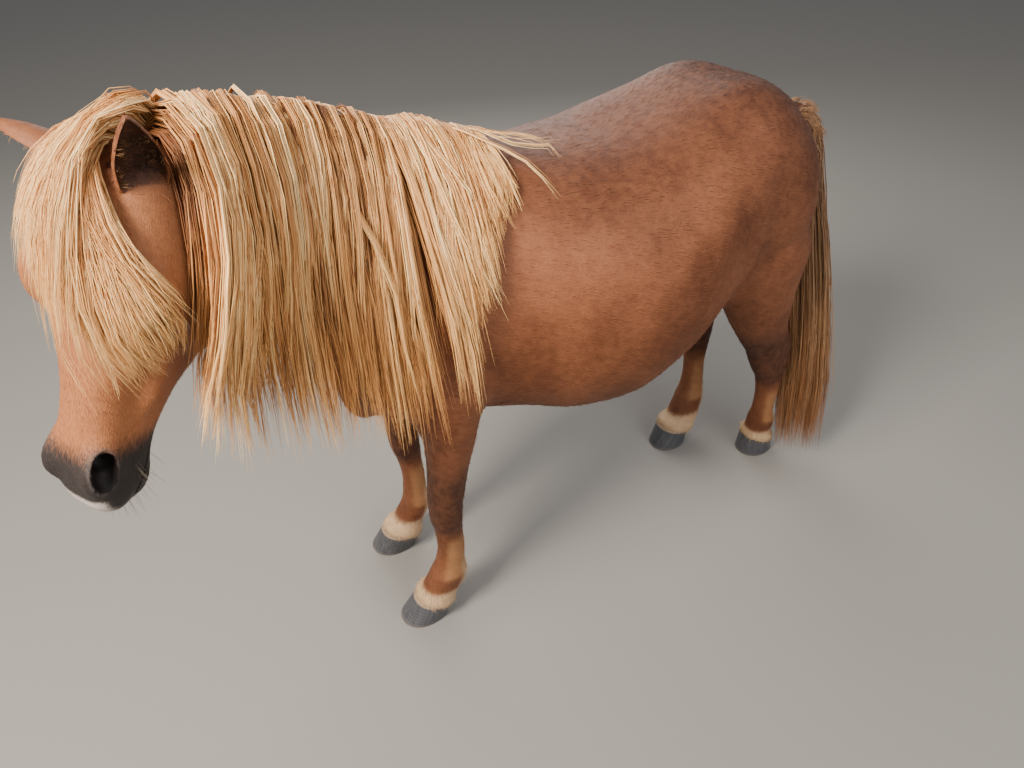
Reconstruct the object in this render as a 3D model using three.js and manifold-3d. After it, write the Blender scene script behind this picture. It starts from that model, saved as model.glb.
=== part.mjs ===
// A shetland pony of nearly a metre at the withers, as a still life-size model.
// It stands square on four hooves, head low and turned to its left, under a long flaxen mane.
// Millimetres. +X is the pony's left side, +Y is towards its tail, +Z is up.
import * as THREE from "three";
import { mergeVertices } from "three/addons/utils/BufferGeometryUtils.js";
import Module from "manifold-3d";

const wasm = await Module();
wasm.setup();

// Driving dimensions
const GAP = 0.3; // between neighbouring pieces
const WITHERS = 978; // height of the highest point of the shoulders
const HEAD_SCALE = 1.03; // the head table below is for a head 430 long

const vec = (x, y, z) => new THREE.Vector3(x, y, z);

// Smooth tables

// A column of numbers against a rising key, read with a curve that never overshoots its rows.
function curve(keys, values) {
  const n = keys.length;
  const slope = keys.slice(1).map((k, i) => (values[i + 1] - values[i]) / (k - keys[i]));
  const tangent = values.map((_, i) => {
    if (i === 0) return slope[0];
    if (i === n - 1) return slope[n - 2];
    const [before, after] = [slope[i - 1], slope[i]];
    return before * after <= 0 ? 0 : (2 * before * after) / (before + after);
  });
  return (key) => {
    const k = Math.min(Math.max(key, keys[0]), keys[n - 1]);
    let i = 0;
    while (i < n - 2 && k > keys[i + 1]) i++;
    const span = keys[i + 1] - keys[i];
    const t = (k - keys[i]) / span;
    const t2 = t * t;
    const t3 = t2 * t;
    return (
      (2 * t3 - 3 * t2 + 1) * values[i] +
      (t3 - 2 * t2 + t) * span * tangent[i] +
      (3 * t2 - 2 * t3) * values[i + 1] +
      (t3 - t2) * span * tangent[i + 1]
    );
  };
}

// The columns of a table as curves against its first column, in the order of the names.
function table(names, rows) {
  const keys = rows.map((r) => r[0]);
  return Object.fromEntries(names.map((name, i) => [name, curve(keys, rows.map((r) => r[i + 1]))]));
}

// Forms of flesh, each a function that is negative inside and grows outwards

const smallest = (a, b, blend) => {
  const h = Math.max(blend - Math.abs(a - b), 0) / blend;
  return Math.min(a, b) - (h * h * blend) / 4;
};

// A form along one axis of a frame. size(u) gives its middle (across, high) and its reach
// to the side, up and down; round ends of the given lengths close it.
function form({ origin, along, side, up, from, to, roundFrom, roundTo, size }) {
  const closing = (u) => {
    const a = Math.min(1, Math.max(0, (from + roundFrom - u) / roundFrom));
    const b = Math.min(1, Math.max(0, (u - to + roundTo) / roundTo));
    return Math.sqrt(Math.max(1e-4, (1 - a * a) * (1 - b * b)));
  };
  const spot = vec(0, 0, 0);
  const field = (p) => {
    spot.copy(p).sub(origin);
    const u = spot.dot(along);
    const inside = Math.min(to, Math.max(from, u));
    const s = size(inside);
    const shrink = closing(inside);
    const across = spot.dot(side) - s.across;
    const high = spot.dot(up) - s.high;
    const reach = high > 0 ? s.up : s.down;
    const power = high > 0 ? s.upPower : s.downPower;
    const q =
      Math.pow(Math.abs(across) / (s.side * shrink), power) +
      Math.pow(Math.abs(high) / (reach * shrink), power);
    const rho = Math.max(1e-6, Math.pow(q, 1 / power));
    const r = Math.hypot(across, high);
    const value = r * (1 - 1 / rho) - (r < 1e-3 ? s.side * shrink : 0);
    const past = Math.abs(u - inside);
    return past === 0 ? value : Math.hypot(Math.max(value, 0), past);
  };
  return { field, origin, along, side, up, from, to, roundFrom, roundTo, size, closing };
}

// An egg of muscle: centre, three radii, turned about X by a lean in degrees.
function egg(x, y, z, rx, ry, rz, lean = 0) {
  const c = Math.cos(THREE.MathUtils.degToRad(lean));
  const s = Math.sin(THREE.MathUtils.degToRad(lean));
  return (p) => {
    const dy = p.y - y;
    const dz = p.z - z;
    const r = Math.hypot((p.x - x) / rx, (dy * c + dz * s) / ry, (dz * c - dy * s) / rz);
    return (r - 1) * Math.min(rx, ry, rz);
  };
}

const X = vec(1, 0, 0);
const Y = vec(0, 1, 0);
const Z = vec(0, 0, 1);
const ORIGIN = vec(0, 0, 0);

// Trunk: rows run from the breast to the buttocks

const trunkRows = table(
  ["top", "bottom", "wide", "side", "upPower", "downPower"],
  [
    [-100, 790, 570, 680, 115, 2.2, 2.2],
    [-40, 880, 530, 690, 155, 2.1, 2.2],
    [40, 950, 505, 700, 172, 1.9, 2.2],
    [110, WITHERS, 492, 705, 184, 1.85, 2.3],
    [200, 950, 464, 700, 208, 2.1, 2.25],
    [300, 927, 426, 685, 238, 2.4, 2.2],
    [400, 925, 414, 675, 252, 2.6, 2.1],
    [500, 942, 444, 690, 242, 2.7, 2.0],
    [600, 966, 508, 725, 212, 2.7, 2.0],
    [660, 973, 545, 745, 198, 2.6, 2.1],
    [720, 966, 566, 750, 184, 2.4, 2.2],
    [780, 947, 582, 750, 168, 2.2, 2.2],
    [840, 915, 606, 752, 150, 2.1, 2.2],
    [935, 862, 660, 765, 115, 2.0, 2.1],
  ],
);
const trunk = form({
  origin: ORIGIN, along: Y, side: X, up: Z,
  from: -100, to: 935, roundFrom: 85, roundTo: 170,
  size: (y) => {
    const high = trunkRows.wide(y);
    return {
      across: 0, high, side: trunkRows.side(y),
      up: trunkRows.top(y) - high, down: high - trunkRows.bottom(y),
      upPower: trunkRows.upPower(y), downPower: trunkRows.downPower(y),
    };
  },
});

// Neck: rows run from inside the head back to inside the shoulders

const neckRows = table(
  ["across", "top", "bottom", "side"],
  [
    [-350, 146, 1090, 915, 58],
    [-300, 124, 1098, 885, 60],
    [-240, 100, 1094, 858, 64],
    [-160, 66, 1078, 812, 72],
    [-80, 34, 1052, 752, 84],
    [0, 10, 1020, 700, 100],
    [80, 0, 985, 680, 112],
    [150, 0, 945, 700, 110],
  ],
);
const neck = form({
  origin: ORIGIN, along: Y, side: X, up: Z,
  from: -350, to: 150, roundFrom: 40, roundTo: 60,
  size: (y) => {
    const [top, bottom] = [neckRows.top(y), neckRows.bottom(y)];
    const high = bottom + (top - bottom) * 0.42;
    return {
      across: neckRows.across(y), high, side: neckRows.side(y),
      up: top - high, down: high - bottom, upPower: 1.9, downPower: 2.1,
    };
  },
});

// Head, in a frame of its own: down the face, to its left, and out of the forehead

const headFrame = new THREE.Matrix4();
{
  const left = vec(0.847, 0.521, -0.105).normalize();
  const face = vec(0.158, -0.434, -0.887);
  face.addScaledVector(left, -face.dot(left)).normalize();
  const brow = new THREE.Vector3().crossVectors(left, face).negate();
  if (brow.y > 0) brow.negate();
  headFrame.makeBasis(left, face, brow).scale(vec(HEAD_SCALE, HEAD_SCALE, HEAD_SCALE));
  headFrame.setPosition(145, -347, 1091);
}
const headToWorld = (left, face, brow) => vec(left, face, brow).applyMatrix4(headFrame);
const worldToHead = headFrame.clone().invert();

const headRows = table(
  ["brow", "jaw", "wide", "side", "upPower", "downPower"],
  [
    [-25, -12, -130, -50, 50, 2.2, 2.2],
    [0, 0, -160, -52, 62, 2.3, 2.2],
    [45, 9, -196, -54, 80, 2.4, 2.2],
    [95, 11, -222, -52, 92, 2.5, 2.2],
    [140, 3, -228, -54, 86, 2.5, 2.3],
    [180, -10, -214, -60, 70, 2.4, 2.3],
    [225, -18, -188, -66, 56, 2.3, 2.3],
    [275, -23, -160, -72, 45, 2.3, 2.2],
    [320, -25, -142, -74, 43, 2.3, 2.2],
    [350, -26, -136, -76, 45, 2.4, 2.2],
    [375, -34, -132, -80, 45, 2.4, 2.2],
    [400, -49, -124, -83, 40, 2.3, 2.3],
    [418, -63, -109, -84, 33, 2.1, 2.2],
    [430, -73, -99, -85, 24, 2.0, 2.0],
  ],
);
const head = form({
  origin: ORIGIN, along: Y, side: X, up: Z,
  from: -25, to: 430, roundFrom: 40, roundTo: 16,
  size: (u) => {
    const high = headRows.wide(u);
    return {
      across: 0, high, side: headRows.side(u),
      up: headRows.brow(u) - high, down: high - headRows.jaw(u),
      upPower: headRows.upPower(u), downPower: headRows.downPower(u),
    };
  },
});
const headLocal = vec(0, 0, 0);
const headLumps = [1, -1].flatMap((s) => [
  egg(82 * s, 134, -34, 20, 34, 22), // brow over the eye
  egg(64 * s, 118, -150, 30, 78, 62), // cheek
  egg(49 * s, 215, -88, 16, 62, 14), // ridge of the cheek bone
  egg(33 * s, 356, -48, 17, 34, 24), // wing of the nostril
  egg(44 * s, 12, -44, 24, 28, 28), // root of the ear
  egg(18 * s, 396, -78, 24, 26, 22), // upper lip
  egg(12 * s, 384, -116, 24, 30, 16), // lower lip and chin
]);
const headField = (p) => {
  headLocal.copy(p).applyMatrix4(worldToHead);
  let value = head.field(headLocal);
  for (const lump of headLumps) value = smallest(value, lump(headLocal), 16);
  return value * HEAD_SCALE;
};

// Legs: rows run up from inside the hoof, each with the leg's front, back and half width

const legRows = (rows) => table(["x", "front", "back", "side"], rows);
const legTables = {
  foreleg_left: legRows([
    [22, 80, -58, 30, 42],
    [48, 84, -46, 37, 40],
    [72, 89, -36, 46, 36],
    [100, 94, -24, 62, 34],
    [128, 99, -13, 66, 33],
    [160, 102, 0, 62, 28],
    [205, 105, 7, 63, 25],
    [262, 108, 4, 60, 28],
    [298, 111, -3, 60, 35],
    [332, 113, -4, 61, 37],
    [380, 117, -3, 68, 38],
    [440, 123, -1, 75, 43],
    [500, 129, -4, 86, 50],
    [560, 131, -16, 98, 58],
    [680, 128, -20, 118, 62],
  ]),
  foreleg_right: legRows([
    [22, -130, -40, 46, 42],
    [48, -122, -24, 55, 40],
    [72, -119, -10, 62, 36],
    [100, -117, 8, 76, 34],
    [128, -116, 22, 84, 33],
    [160, -115, 27, 80, 28],
    [205, -113, 29, 79, 25],
    [262, -113, 22, 76, 28],
    [298, -115, 13, 76, 35],
    [332, -117, 11, 77, 37],
    [380, -120, 10, 82, 38],
    [440, -125, 8, 88, 43],
    [500, -129, 3, 96, 50],
    [560, -131, -10, 106, 58],
    [680, -128, -16, 122, 62],
  ]),
  hindleg_left: legRows([
    [22, 60, 895, 962, 38],
    [48, 62, 886, 958, 38],
    [72, 66, 881, 948, 34],
    [98, 72, 877, 946, 32],
    [125, 78, 873, 938, 32],
    [160, 85, 868, 922, 26],
    [210, 91, 860, 915, 25],
    [280, 98, 838, 910, 28],
    [320, 102, 812, 910, 33],
    [355, 104, 792, 908, 34],
    [385, 106, 776, 900, 34],
    [430, 111, 742, 872, 38],
    [480, 117, 706, 852, 45],
    [540, 122, 668, 845, 52],
    [600, 122, 640, 852, 58],
    [720, 116, 640, 872, 68],
  ]),
  hindleg_right: legRows([
    [22, -76, 722, 796, 38],
    [48, -77, 730, 822, 39],
    [72, -79, 742, 838, 35],
    [98, -81, 757, 846, 33],
    [125, -84, 773, 850, 33],
    [160, -88, 788, 850, 27],
    [210, -94, 796, 850, 25],
    [280, -100, 794, 860, 29],
    [320, -103, 778, 868, 33],
    [355, -105, 760, 872, 34],
    [385, -107, 742, 872, 35],
    [430, -112, 714, 858, 38],
    [480, -118, 684, 846, 45],
    [540, -122, 655, 842, 52],
    [600, -122, 635, 852, 58],
    [720, -116, 640, 872, 68],
  ]),
};
function leg(name, rows) {
  const highest = name.startsWith("fore") ? 680 : 720;
  return form({
    origin: ORIGIN, along: Z, side: X, up: vec(0, -1, 0),
    from: 22, to: highest, roundFrom: 4, roundTo: 90,
    size: (z) => {
      const half = (rows.back(z) - rows.front(z)) / 2;
      return {
        across: rows.x(z), high: -rows.front(z) - half, side: rows.side(z),
        up: half, down: half, upPower: 2.1, downPower: 2.1,
      };
    },
  });
}
const legs = Object.fromEntries(
  Object.entries(legTables).map(([name, rows]) => [name, leg(name, rows)]),
);

const bodyLumps = [1, -1].flatMap((s) => [
  egg(108 * s, 62, 725, 72, 112, 160, -18), // shoulder blade
  egg(114 * s, 62, 620, 56, 74, 62), // upper arm
  egg(96 * s, -50, 655, 60, 48, 70), // point of the shoulder
  egg(48 * s, -76, 610, 52, 34, 60), // breast
  egg(78 * s, 672, 852, 90, 120, 118, 14), // top of the rump
  egg(104 * s, 730, 750, 82, 112, 140, 20), // haunch
  egg(124 * s, 682, 632, 48, 56, 74, 25), // stifle
  egg(72 * s, 820, 700, 52, 72, 120), // back of the thigh
]);

// The whole body's field, with soft hollows where one form runs into the next.
const BLEND = { neck: 70, muscle: 26, leg: 26, head: 40 };
function trunkField(p) {
  let value = trunk.field(p);
  for (const lump of bodyLumps) value = smallest(value, lump(p), BLEND.muscle);
  return value;
}
function bodyField(p) {
  let value = smallest(trunkField(p), neck.field(p), BLEND.neck);
  for (const name in legs) value = smallest(value, legs[name].field(p), BLEND.leg);
  return p.y > -130 ? value : smallest(value, headField(p), BLEND.head);
}

// Meshes

// Distance from a point inside a field to its surface along a direction, up to a limit.
function reach(field, from, direction, limit) {
  const STEP = 6;
  const p = vec(0, 0, 0);
  let near = 0;
  let far = limit;
  for (let d = STEP; d < limit; d += STEP) {
    if (field(p.copy(from).addScaledVector(direction, d)) > 0) {
      far = d;
      break;
    }
    near = d;
  }
  if (far === limit && field(p.copy(from).addScaledVector(direction, limit)) < 0) return limit;
  for (let i = 0; i < 12; i++) {
    const middle = (near + far) / 2;
    if (field(p.copy(from).addScaledVector(direction, middle)) > 0) far = middle;
    else near = middle;
  }
  return near;
}

// Which way a field grows fastest at a point.
function outward(field, p) {
  const E = 2;
  const q = vec(0, 0, 0);
  const near = (axis, by) => field(q.copy(p).addScaledVector(axis, by));
  const slope = (axis) => near(axis, E) - near(axis, -E);
  const g = vec(slope(X), slope(Y), slope(Z));
  return g.lengthSq() > 0 ? g.normalize() : g.set(0, 0, 1);
}

// A closed solid from positions and triangles, turned so that its faces point out.
function closed(positions, triangles) {
  const make = (tris) =>
    new wasm.Manifold(
      new wasm.Mesh({
        numProp: 3,
        vertProperties: new Float32Array(positions),
        triVerts: new Uint32Array(tris),
      }),
    );
  const solid = make(triangles);
  if (solid.volume() > 0) return solid;
  const turned = [];
  for (let i = 0; i < triangles.length; i += 3) {
    turned.push(triangles[i], triangles[i + 2], triangles[i + 1]);
  }
  return make(turned);
}

// Rings of points, all of one length, joined into a closed solid. A first or last ring of one
// point is a tip; a longer one is closed by a flat fan.
function solidFromRings(rings) {
  const positions = [];
  const triangles = [];
  const first = rings.map((ring) => {
    const start = positions.length / 3;
    for (const p of ring) positions.push(p.x, p.y, p.z);
    return start;
  });
  const fan = (ring, start, flip) => {
    const middle = new THREE.Vector3();
    for (const p of ring) middle.addScaledVector(p, 1 / ring.length);
    const hub = positions.length / 3;
    positions.push(middle.x, middle.y, middle.z);
    ring.forEach((_, j) => {
      const next = (j + 1) % ring.length;
      triangles.push(...(flip ? [hub, start + next, start + j] : [hub, start + j, start + next]));
    });
  };
  for (let i = 0; i + 1 < rings.length; i++) {
    const [low, high] = [rings[i], rings[i + 1]];
    const count = Math.max(low.length, high.length);
    for (let j = 0; j < count; j++) {
      const next = (j + 1) % count;
      const a = first[i] + (low.length === 1 ? 0 : j);
      const b = first[i] + (low.length === 1 ? 0 : next);
      const c = first[i + 1] + (high.length === 1 ? 0 : next);
      const d = first[i + 1] + (high.length === 1 ? 0 : j);
      if (low.length > 1) triangles.push(a, b, c);
      if (high.length > 1) triangles.push(a, c, d);
    }
  }
  if (rings[0].length > 1) fan(rings[0], first[0], true);
  const last = rings.length - 1;
  if (rings[last].length > 1) fan(rings[last], first[last], false);
  return closed(positions, triangles);
}

// Rings of a form at the given stations, each point pushed out to the skin of a field, but
// no further than the form's own surface plus an allowance.
function skinRings(shape, field, stations, sides, allowance, toWorld = (p) => p) {
  return stations.map((u) => {
    const s = shape.size(u);
    const shrink = shape.closing(u);
    const local = (across, high) =>
      toWorld(
        shape.origin.clone()
          .addScaledVector(shape.along, u)
          .addScaledVector(shape.side, across)
          .addScaledVector(shape.up, high),
      );
    const middle = local(s.across, s.high);
    return Array.from({ length: sides }, (_, j) => {
      const turn = (2 * Math.PI * j) / sides;
      const [c, d] = [Math.cos(turn), Math.sin(turn)];
      const power = d > 0 ? s.upPower : s.downPower;
      const tall = d > 0 ? s.up : s.down;
      const scale = Math.pow(Math.abs(c) ** power + Math.abs(d) ** power, -1 / power) * shrink;
      const edge = local(s.across + c * s.side * scale, s.high + d * tall * scale);
      const way = edge.sub(middle);
      const own = way.length();
      way.normalize();
      return middle.clone().addScaledVector(way, reach(field, middle, way, own + allowance));
    });
  });
}

// The surface where a field is zero, as a net of quads over a grid of cells. Each
// cell the surface passes through gets one corner, drawn onto the surface.
function netSolid(field, xs, ys, zs) {
  const [nx, ny, nz] = [xs.length, ys.length, zs.length];
  const at = (i, j, k) => (k * ny + j) * nx + i;
  const p = vec(0, 0, 0);
  const values = new Float64Array(nx * ny * nz);
  for (let k = 0; k < nz; k++) {
    for (let j = 0; j < ny; j++) {
      for (let i = 0; i < nx; i++) {
        const rim = i === 0 || j === 0 || k === 0 || i === nx - 1 || j === ny - 1 || k === nz - 1;
        values[at(i, j, k)] = rim ? 1e3 : field(p.set(xs[i], ys[j], zs[k]));
      }
    }
  }
  const corner = new Map();
  const positions = [];
  const cornerOf = (i, j, k) => {
    const key = at(i, j, k);
    if (corner.has(key)) return corner.get(key);
    const sum = vec(0, 0, 0);
    let crossings = 0;
    const steps = [[1, 0, 0], [0, 1, 0], [0, 0, 1]];
    for (let c = 0; c < 8; c++) {
      const base = [c & 1, (c >> 1) & 1, c >> 2];
      steps.forEach((step, axis) => {
        if (base[axis]) return;
        const [i0, j0, k0] = [i + base[0], j + base[1], k + base[2]];
        const [i1, j1, k1] = [i0 + step[0], j0 + step[1], k0 + step[2]];
        const [v0, v1] = [values[at(i0, j0, k0)], values[at(i1, j1, k1)]];
        if (v0 < 0 === v1 < 0) return;
        const t = Math.abs(v0) > 500 || Math.abs(v1) > 500 ? 0.5 : v0 / (v0 - v1);
        sum.x += xs[i0] + (xs[i1] - xs[i0]) * t;
        sum.y += ys[j0] + (ys[j1] - ys[j0]) * t;
        sum.z += zs[k0] + (zs[k1] - zs[k0]) * t;
        crossings++;
      });
    }
    const q = sum.divideScalar(crossings);
    const inside = i > 0 && j > 0 && k > 0 && i < nx - 2 && j < ny - 2 && k < nz - 2;
    for (let round = 0; inside && round < 4; round++) {
      const off = field(q);
      q.addScaledVector(outward(field, q), -Math.max(-8, Math.min(8, off)));
    }
    corner.set(key, positions.length / 3);
    positions.push(q.x, q.y, q.z);
    return corner.get(key);
  };
  const triangles = [];
  const point = (n) => vec(positions[3 * n], positions[3 * n + 1], positions[3 * n + 2]);
  const quad = ([a, b, c, d], flip) => {
    const shorter = point(a).distanceTo(point(c)) <= point(b).distanceTo(point(d));
    const tris = shorter ? [a, b, c, a, c, d] : [a, b, d, b, c, d];
    for (let n = 0; n < 6; n += 3) {
      triangles.push(tris[n], tris[n + (flip ? 2 : 1)], tris[n + (flip ? 1 : 2)]);
    }
  };
  for (let k = 0; k < nz - 1; k++) {
    for (let j = 0; j < ny - 1; j++) {
      for (let i = 0; i < nx - 1; i++) {
        const here = values[at(i, j, k)] < 0;
        const around = (...offsets) => offsets.map(([x, y, z]) => cornerOf(i - x, j - y, k - z));
        if (here !== values[at(i + 1, j, k)] < 0) {
          quad(around([0, 1, 1], [0, 0, 1], [0, 0, 0], [0, 1, 0]), !here);
        }
        if (here !== values[at(i, j + 1, k)] < 0) {
          quad(around([1, 0, 1], [0, 0, 1], [0, 0, 0], [1, 0, 0]), here);
        }
        if (here !== values[at(i, j, k + 1)] < 0) {
          quad(around([1, 1, 0], [0, 1, 0], [0, 0, 0], [1, 0, 0]), !here);
        }
      }
    }
  }
  return closed(positions, triangles);
}

const steps = (from, to, count) =>
  Array.from({ length: count + 1 }, (_, i) => from + ((to - from) * i) / count);

// A box between two corners, in a frame if one is given.
function block(low, high, frame) {
  const size = high.clone().sub(low);
  const box = new THREE.BoxGeometry(size.x, size.y, size.z);
  box.deleteAttribute("normal");
  box.deleteAttribute("uv");
  const merged = mergeVertices(box);
  merged.translate(...low.clone().add(high).multiplyScalar(0.5).toArray());
  if (frame) merged.applyMatrix4(frame);
  return closed(Array.from(merged.attributes.position.array), Array.from(merged.index.array));
}

// A box on one side of a plane through a point: everything ahead of the plane.
function halfSpace(point, normal, size = 1600) {
  const frame = new THREE.Matrix4().lookAt(normal, ORIGIN, Math.abs(normal.z) < 0.9 ? Z : X);
  frame.setPosition(point);
  return block(vec(-size, -size, 0), vec(size, size, size), frame);
}

// A solid with every corner pushed out a little, for clearing what lies against it.
function grown(solid, by) {
  const mesh = solid.getMesh();
  const geometry = new THREE.BufferGeometry();
  const positions = Array.from({ length: mesh.numVert }, (_, i) =>
    Array.from(mesh.vertProperties.subarray(i * mesh.numProp, i * mesh.numProp + 3)),
  ).flat();
  geometry.setAttribute("position", new THREE.Float32BufferAttribute(positions, 3));
  geometry.setIndex(new THREE.BufferAttribute(mesh.triVerts, 1));
  geometry.computeVertexNormals();
  const normals = geometry.attributes.normal.array;
  return closed(positions.map((value, i) => value + by * normals[i]), Array.from(mesh.triVerts));
}

const largest = (solid) => {
  const pieces = solid.decompose();
  return pieces.reduce((a, b) => (a.volume() > b.volume() ? a : b));
};
const joined = (solids) => wasm.Manifold.union(solids);

// Trunk, neck and thighs as one skin, parted by thin cuts

const bodyGrid = [
  steps(-306, 306, 16),
  [...steps(-410, 70, 13), ...steps(112, 870, 17), ...steps(904, 972, 2)],
  steps(390, 1130, 20),
];

// The cut between head and neck runs from behind the ears to the back of the jaw.
const pollCut = {
  point: headToWorld(0, -30, -20),
  normal: headToWorld(0, 0.882, 0.472).sub(headToWorld(0, 0, 0)).normalize(),
};
// The cut between neck and torso runs from the withers down to the breast.
const SHOULDER_CUT = { point: vec(0, 60, 800), normal: vec(0, -0.72, 0.6).normalize() };
const FORE_CUT = 478; // height at which the forelegs come free of the torso
const HIND_CUT = 500;

const legsBelow = joined([
  block(vec(-400, -200, 300), vec(400, 135, FORE_CUT)),
  block(vec(-400, 640, 300), vec(400, 1000, HIND_CUT)),
]);
const shifted = (cut, by) => cut.point.clone().addScaledVector(cut.normal, by);
const aheadOf = (cut, by) => halfSpace(shifted(cut, by), cut.normal);
const behind = (cut, by) => halfSpace(shifted(cut, by), cut.normal.clone().negate());

const bodyWhole = netSolid(bodyField, ...bodyGrid);
const bodySolid = bodyWhole.subtract(legsBelow);
const torsoSolid = largest(bodySolid.intersect(behind(SHOULDER_CUT, -GAP / 2)));
const neckBare = largest(
  bodySolid.intersect(aheadOf(SHOULDER_CUT, GAP / 2)).intersect(behind(pollCut, -GAP / 2)),
);

// Head: rings down the face, then nostrils, mouth and eyes are worked into it

const headStations = [
  -22, -6, 14, 34, 54, 74, 92, 108, 124, 140, 156, 172, 192, 216, 242, 268, 292, 314, 332, 346, 358,
  370, 382, 394, 406, 416, 423, 428.5,
];
const headRing = (field, allowance) =>
  skinRings(head, field, headStations, 28, allowance, (p) => p.applyMatrix4(headFrame));
const headWhole = solidFromRings([...headRing(headField, 34), [headToWorld(0, 430.5, -85)]]);

const EYE = { x: 79, along: 138, brow: -40, radius: 22 };
const eyeMiddle = (s) => headToWorld(EYE.x * s, EYE.along, EYE.brow);
const eyeLook = (s) => vec(0.9 * s, 0.12, 0.36).normalize(); // in the head's own frame

function ball(middle, radius, around = 12, up = 8) {
  const sphere = new THREE.SphereGeometry(radius, around, up);
  sphere.deleteAttribute("normal");
  sphere.deleteAttribute("uv");
  const merged = mergeVertices(sphere, 1e-3);
  merged.translate(middle.x, middle.y, middle.z);
  return closed(Array.from(merged.attributes.position.array), Array.from(merged.index.array));
}

// The lids: a ring of skin round an almond opening, thin at its rim and sunk in the head.
function lids(s) {
  const look = eyeLook(s);
  const corner = vec(0.05 * s, 0.86, -0.5);
  corner.addScaledVector(look, -look.dot(corner)).normalize();
  const lidUp = new THREE.Vector3().crossVectors(corner, look).normalize();
  if (lidUp.z < 0) lidUp.negate();
  const onBall = (sideways, upwards, radius) => {
    const d = look.clone();
    d.addScaledVector(corner, Math.tan(sideways)).addScaledVector(lidUp, Math.tan(upwards));
    d.normalize().multiplyScalar(radius);
    return headToWorld(EYE.x * s + d.x, EYE.along + d.y, EYE.brow + d.z);
  };
  const AROUND = 16;
  const r = EYE.radius / HEAD_SCALE;
  const edge = (j, grow, radius) => {
    const turn = (2 * Math.PI * j) / AROUND;
    const [c, d] = [Math.cos(turn), Math.sin(turn)];
    const high = (d > 0 ? 0.5 : 0.36) * Math.sign(d) * Math.abs(d) ** 1.25 + 0.03;
    return onBall((0.8 + grow) * c, high + grow * d, radius);
  };
  const around = Array.from({ length: AROUND }, (_, j) => j);
  const skin = solidFromLoop(
    around.map((j) => [
      edge(j, 0, r - 0.4),
      edge(j, 0.02, r + 2.2),
      edge(j, 0.2, r + 3.4),
      edge(j, 0.42, r + 1.2),
      edge(j, 0.5, r - 5),
      edge(j, 0.14, r - 3),
    ]),
  );
  const opening = solidFromRings([
    around.map((j) => edge(j, -0.02, r - 6)),
    around.map((j) => edge(j, 0, r + 1)),
    around.map((j) => edge(j, 0.06, r + 16)),
  ]);
  return { skin, opening };
}

// Sections in a closed loop joined into a ring-shaped solid.
function solidFromLoop(sections) {
  const count = sections[0].length;
  const positions = sections.flat().flatMap((p) => [p.x, p.y, p.z]);
  const triangles = [];
  sections.forEach((_, i) => {
    const after = (i + 1) % sections.length;
    for (let j = 0; j < count; j++) {
      const next = (j + 1) % count;
      const [a, b, c, d] = [i * count + j, i * count + next, after * count + next, after * count + j];
      triangles.push(a, b, c, a, c, d);
    }
  });
  return closed(positions, triangles);
}

// A nostril: an egg-shaped hollow with a second one leading inwards and up.
function nostril(s) {
  const hollow = (x, along, brow, rx, ra, rb, lean) => {
    const sphere = new THREE.SphereGeometry(1, 12, 8);
    sphere.deleteAttribute("normal");
    sphere.deleteAttribute("uv");
    const merged = mergeVertices(sphere, 1e-3);
    const turn = new THREE.Matrix4().makeRotationX(lean);
    merged.applyMatrix4(new THREE.Matrix4().makeScale(rx, ra, rb));
    merged.applyMatrix4(turn);
    merged.translate(x * s, along, brow);
    merged.applyMatrix4(headFrame);
    return closed(Array.from(merged.attributes.position.array), Array.from(merged.index.array));
  };
  return joined([hollow(45, 351, -43, 11, 20, 9.5, -0.12), hollow(33, 344, -47, 15, 11, 7, -0.12)]);
}

// The mouth: a thin slot a little way into the head, from corner to corner round the lips.
const innerHead = solidFromRings([
  ...headRing((p) => headField(p) + 7, 34),
  [headToWorld(0, 423, -85)],
]);
const mouthFrame = new THREE.Matrix4().makeBasis(
  vec(1, 0, 0), vec(0, 0.972, 0.235), vec(0, -0.235, 0.972),
);
mouthFrame.setPosition(0, 326, -120);
mouthFrame.premultiply(headFrame);
const mouth = block(vec(-90, 0, -1.3), vec(90, 160, 1.3), mouthFrame).subtract(innerHead);

const eyeBalls = { eye_left: ball(eyeMiddle(1), EYE.radius), eye_right: ball(eyeMiddle(-1), EYE.radius) };
const sockets = [1, -1].map((s) => ball(eyeMiddle(s), EYE.radius + GAP + 0.2));
const eyeLids = [lids(1), lids(-1)];
const headBare = largest(
  joined([
    headWhole.subtract(joined(eyeLids.map((lid) => lid.opening))),
    ...eyeLids.map((lid) => lid.skin),
  ])
    .subtract(joined([...sockets, nostril(1), nostril(-1), mouth]))
    .intersect(aheadOf(pollCut, GAP / 2)),
);

// Ears: a cupped leaf, given by its root, the way to its tip and the way its cup faces

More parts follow.
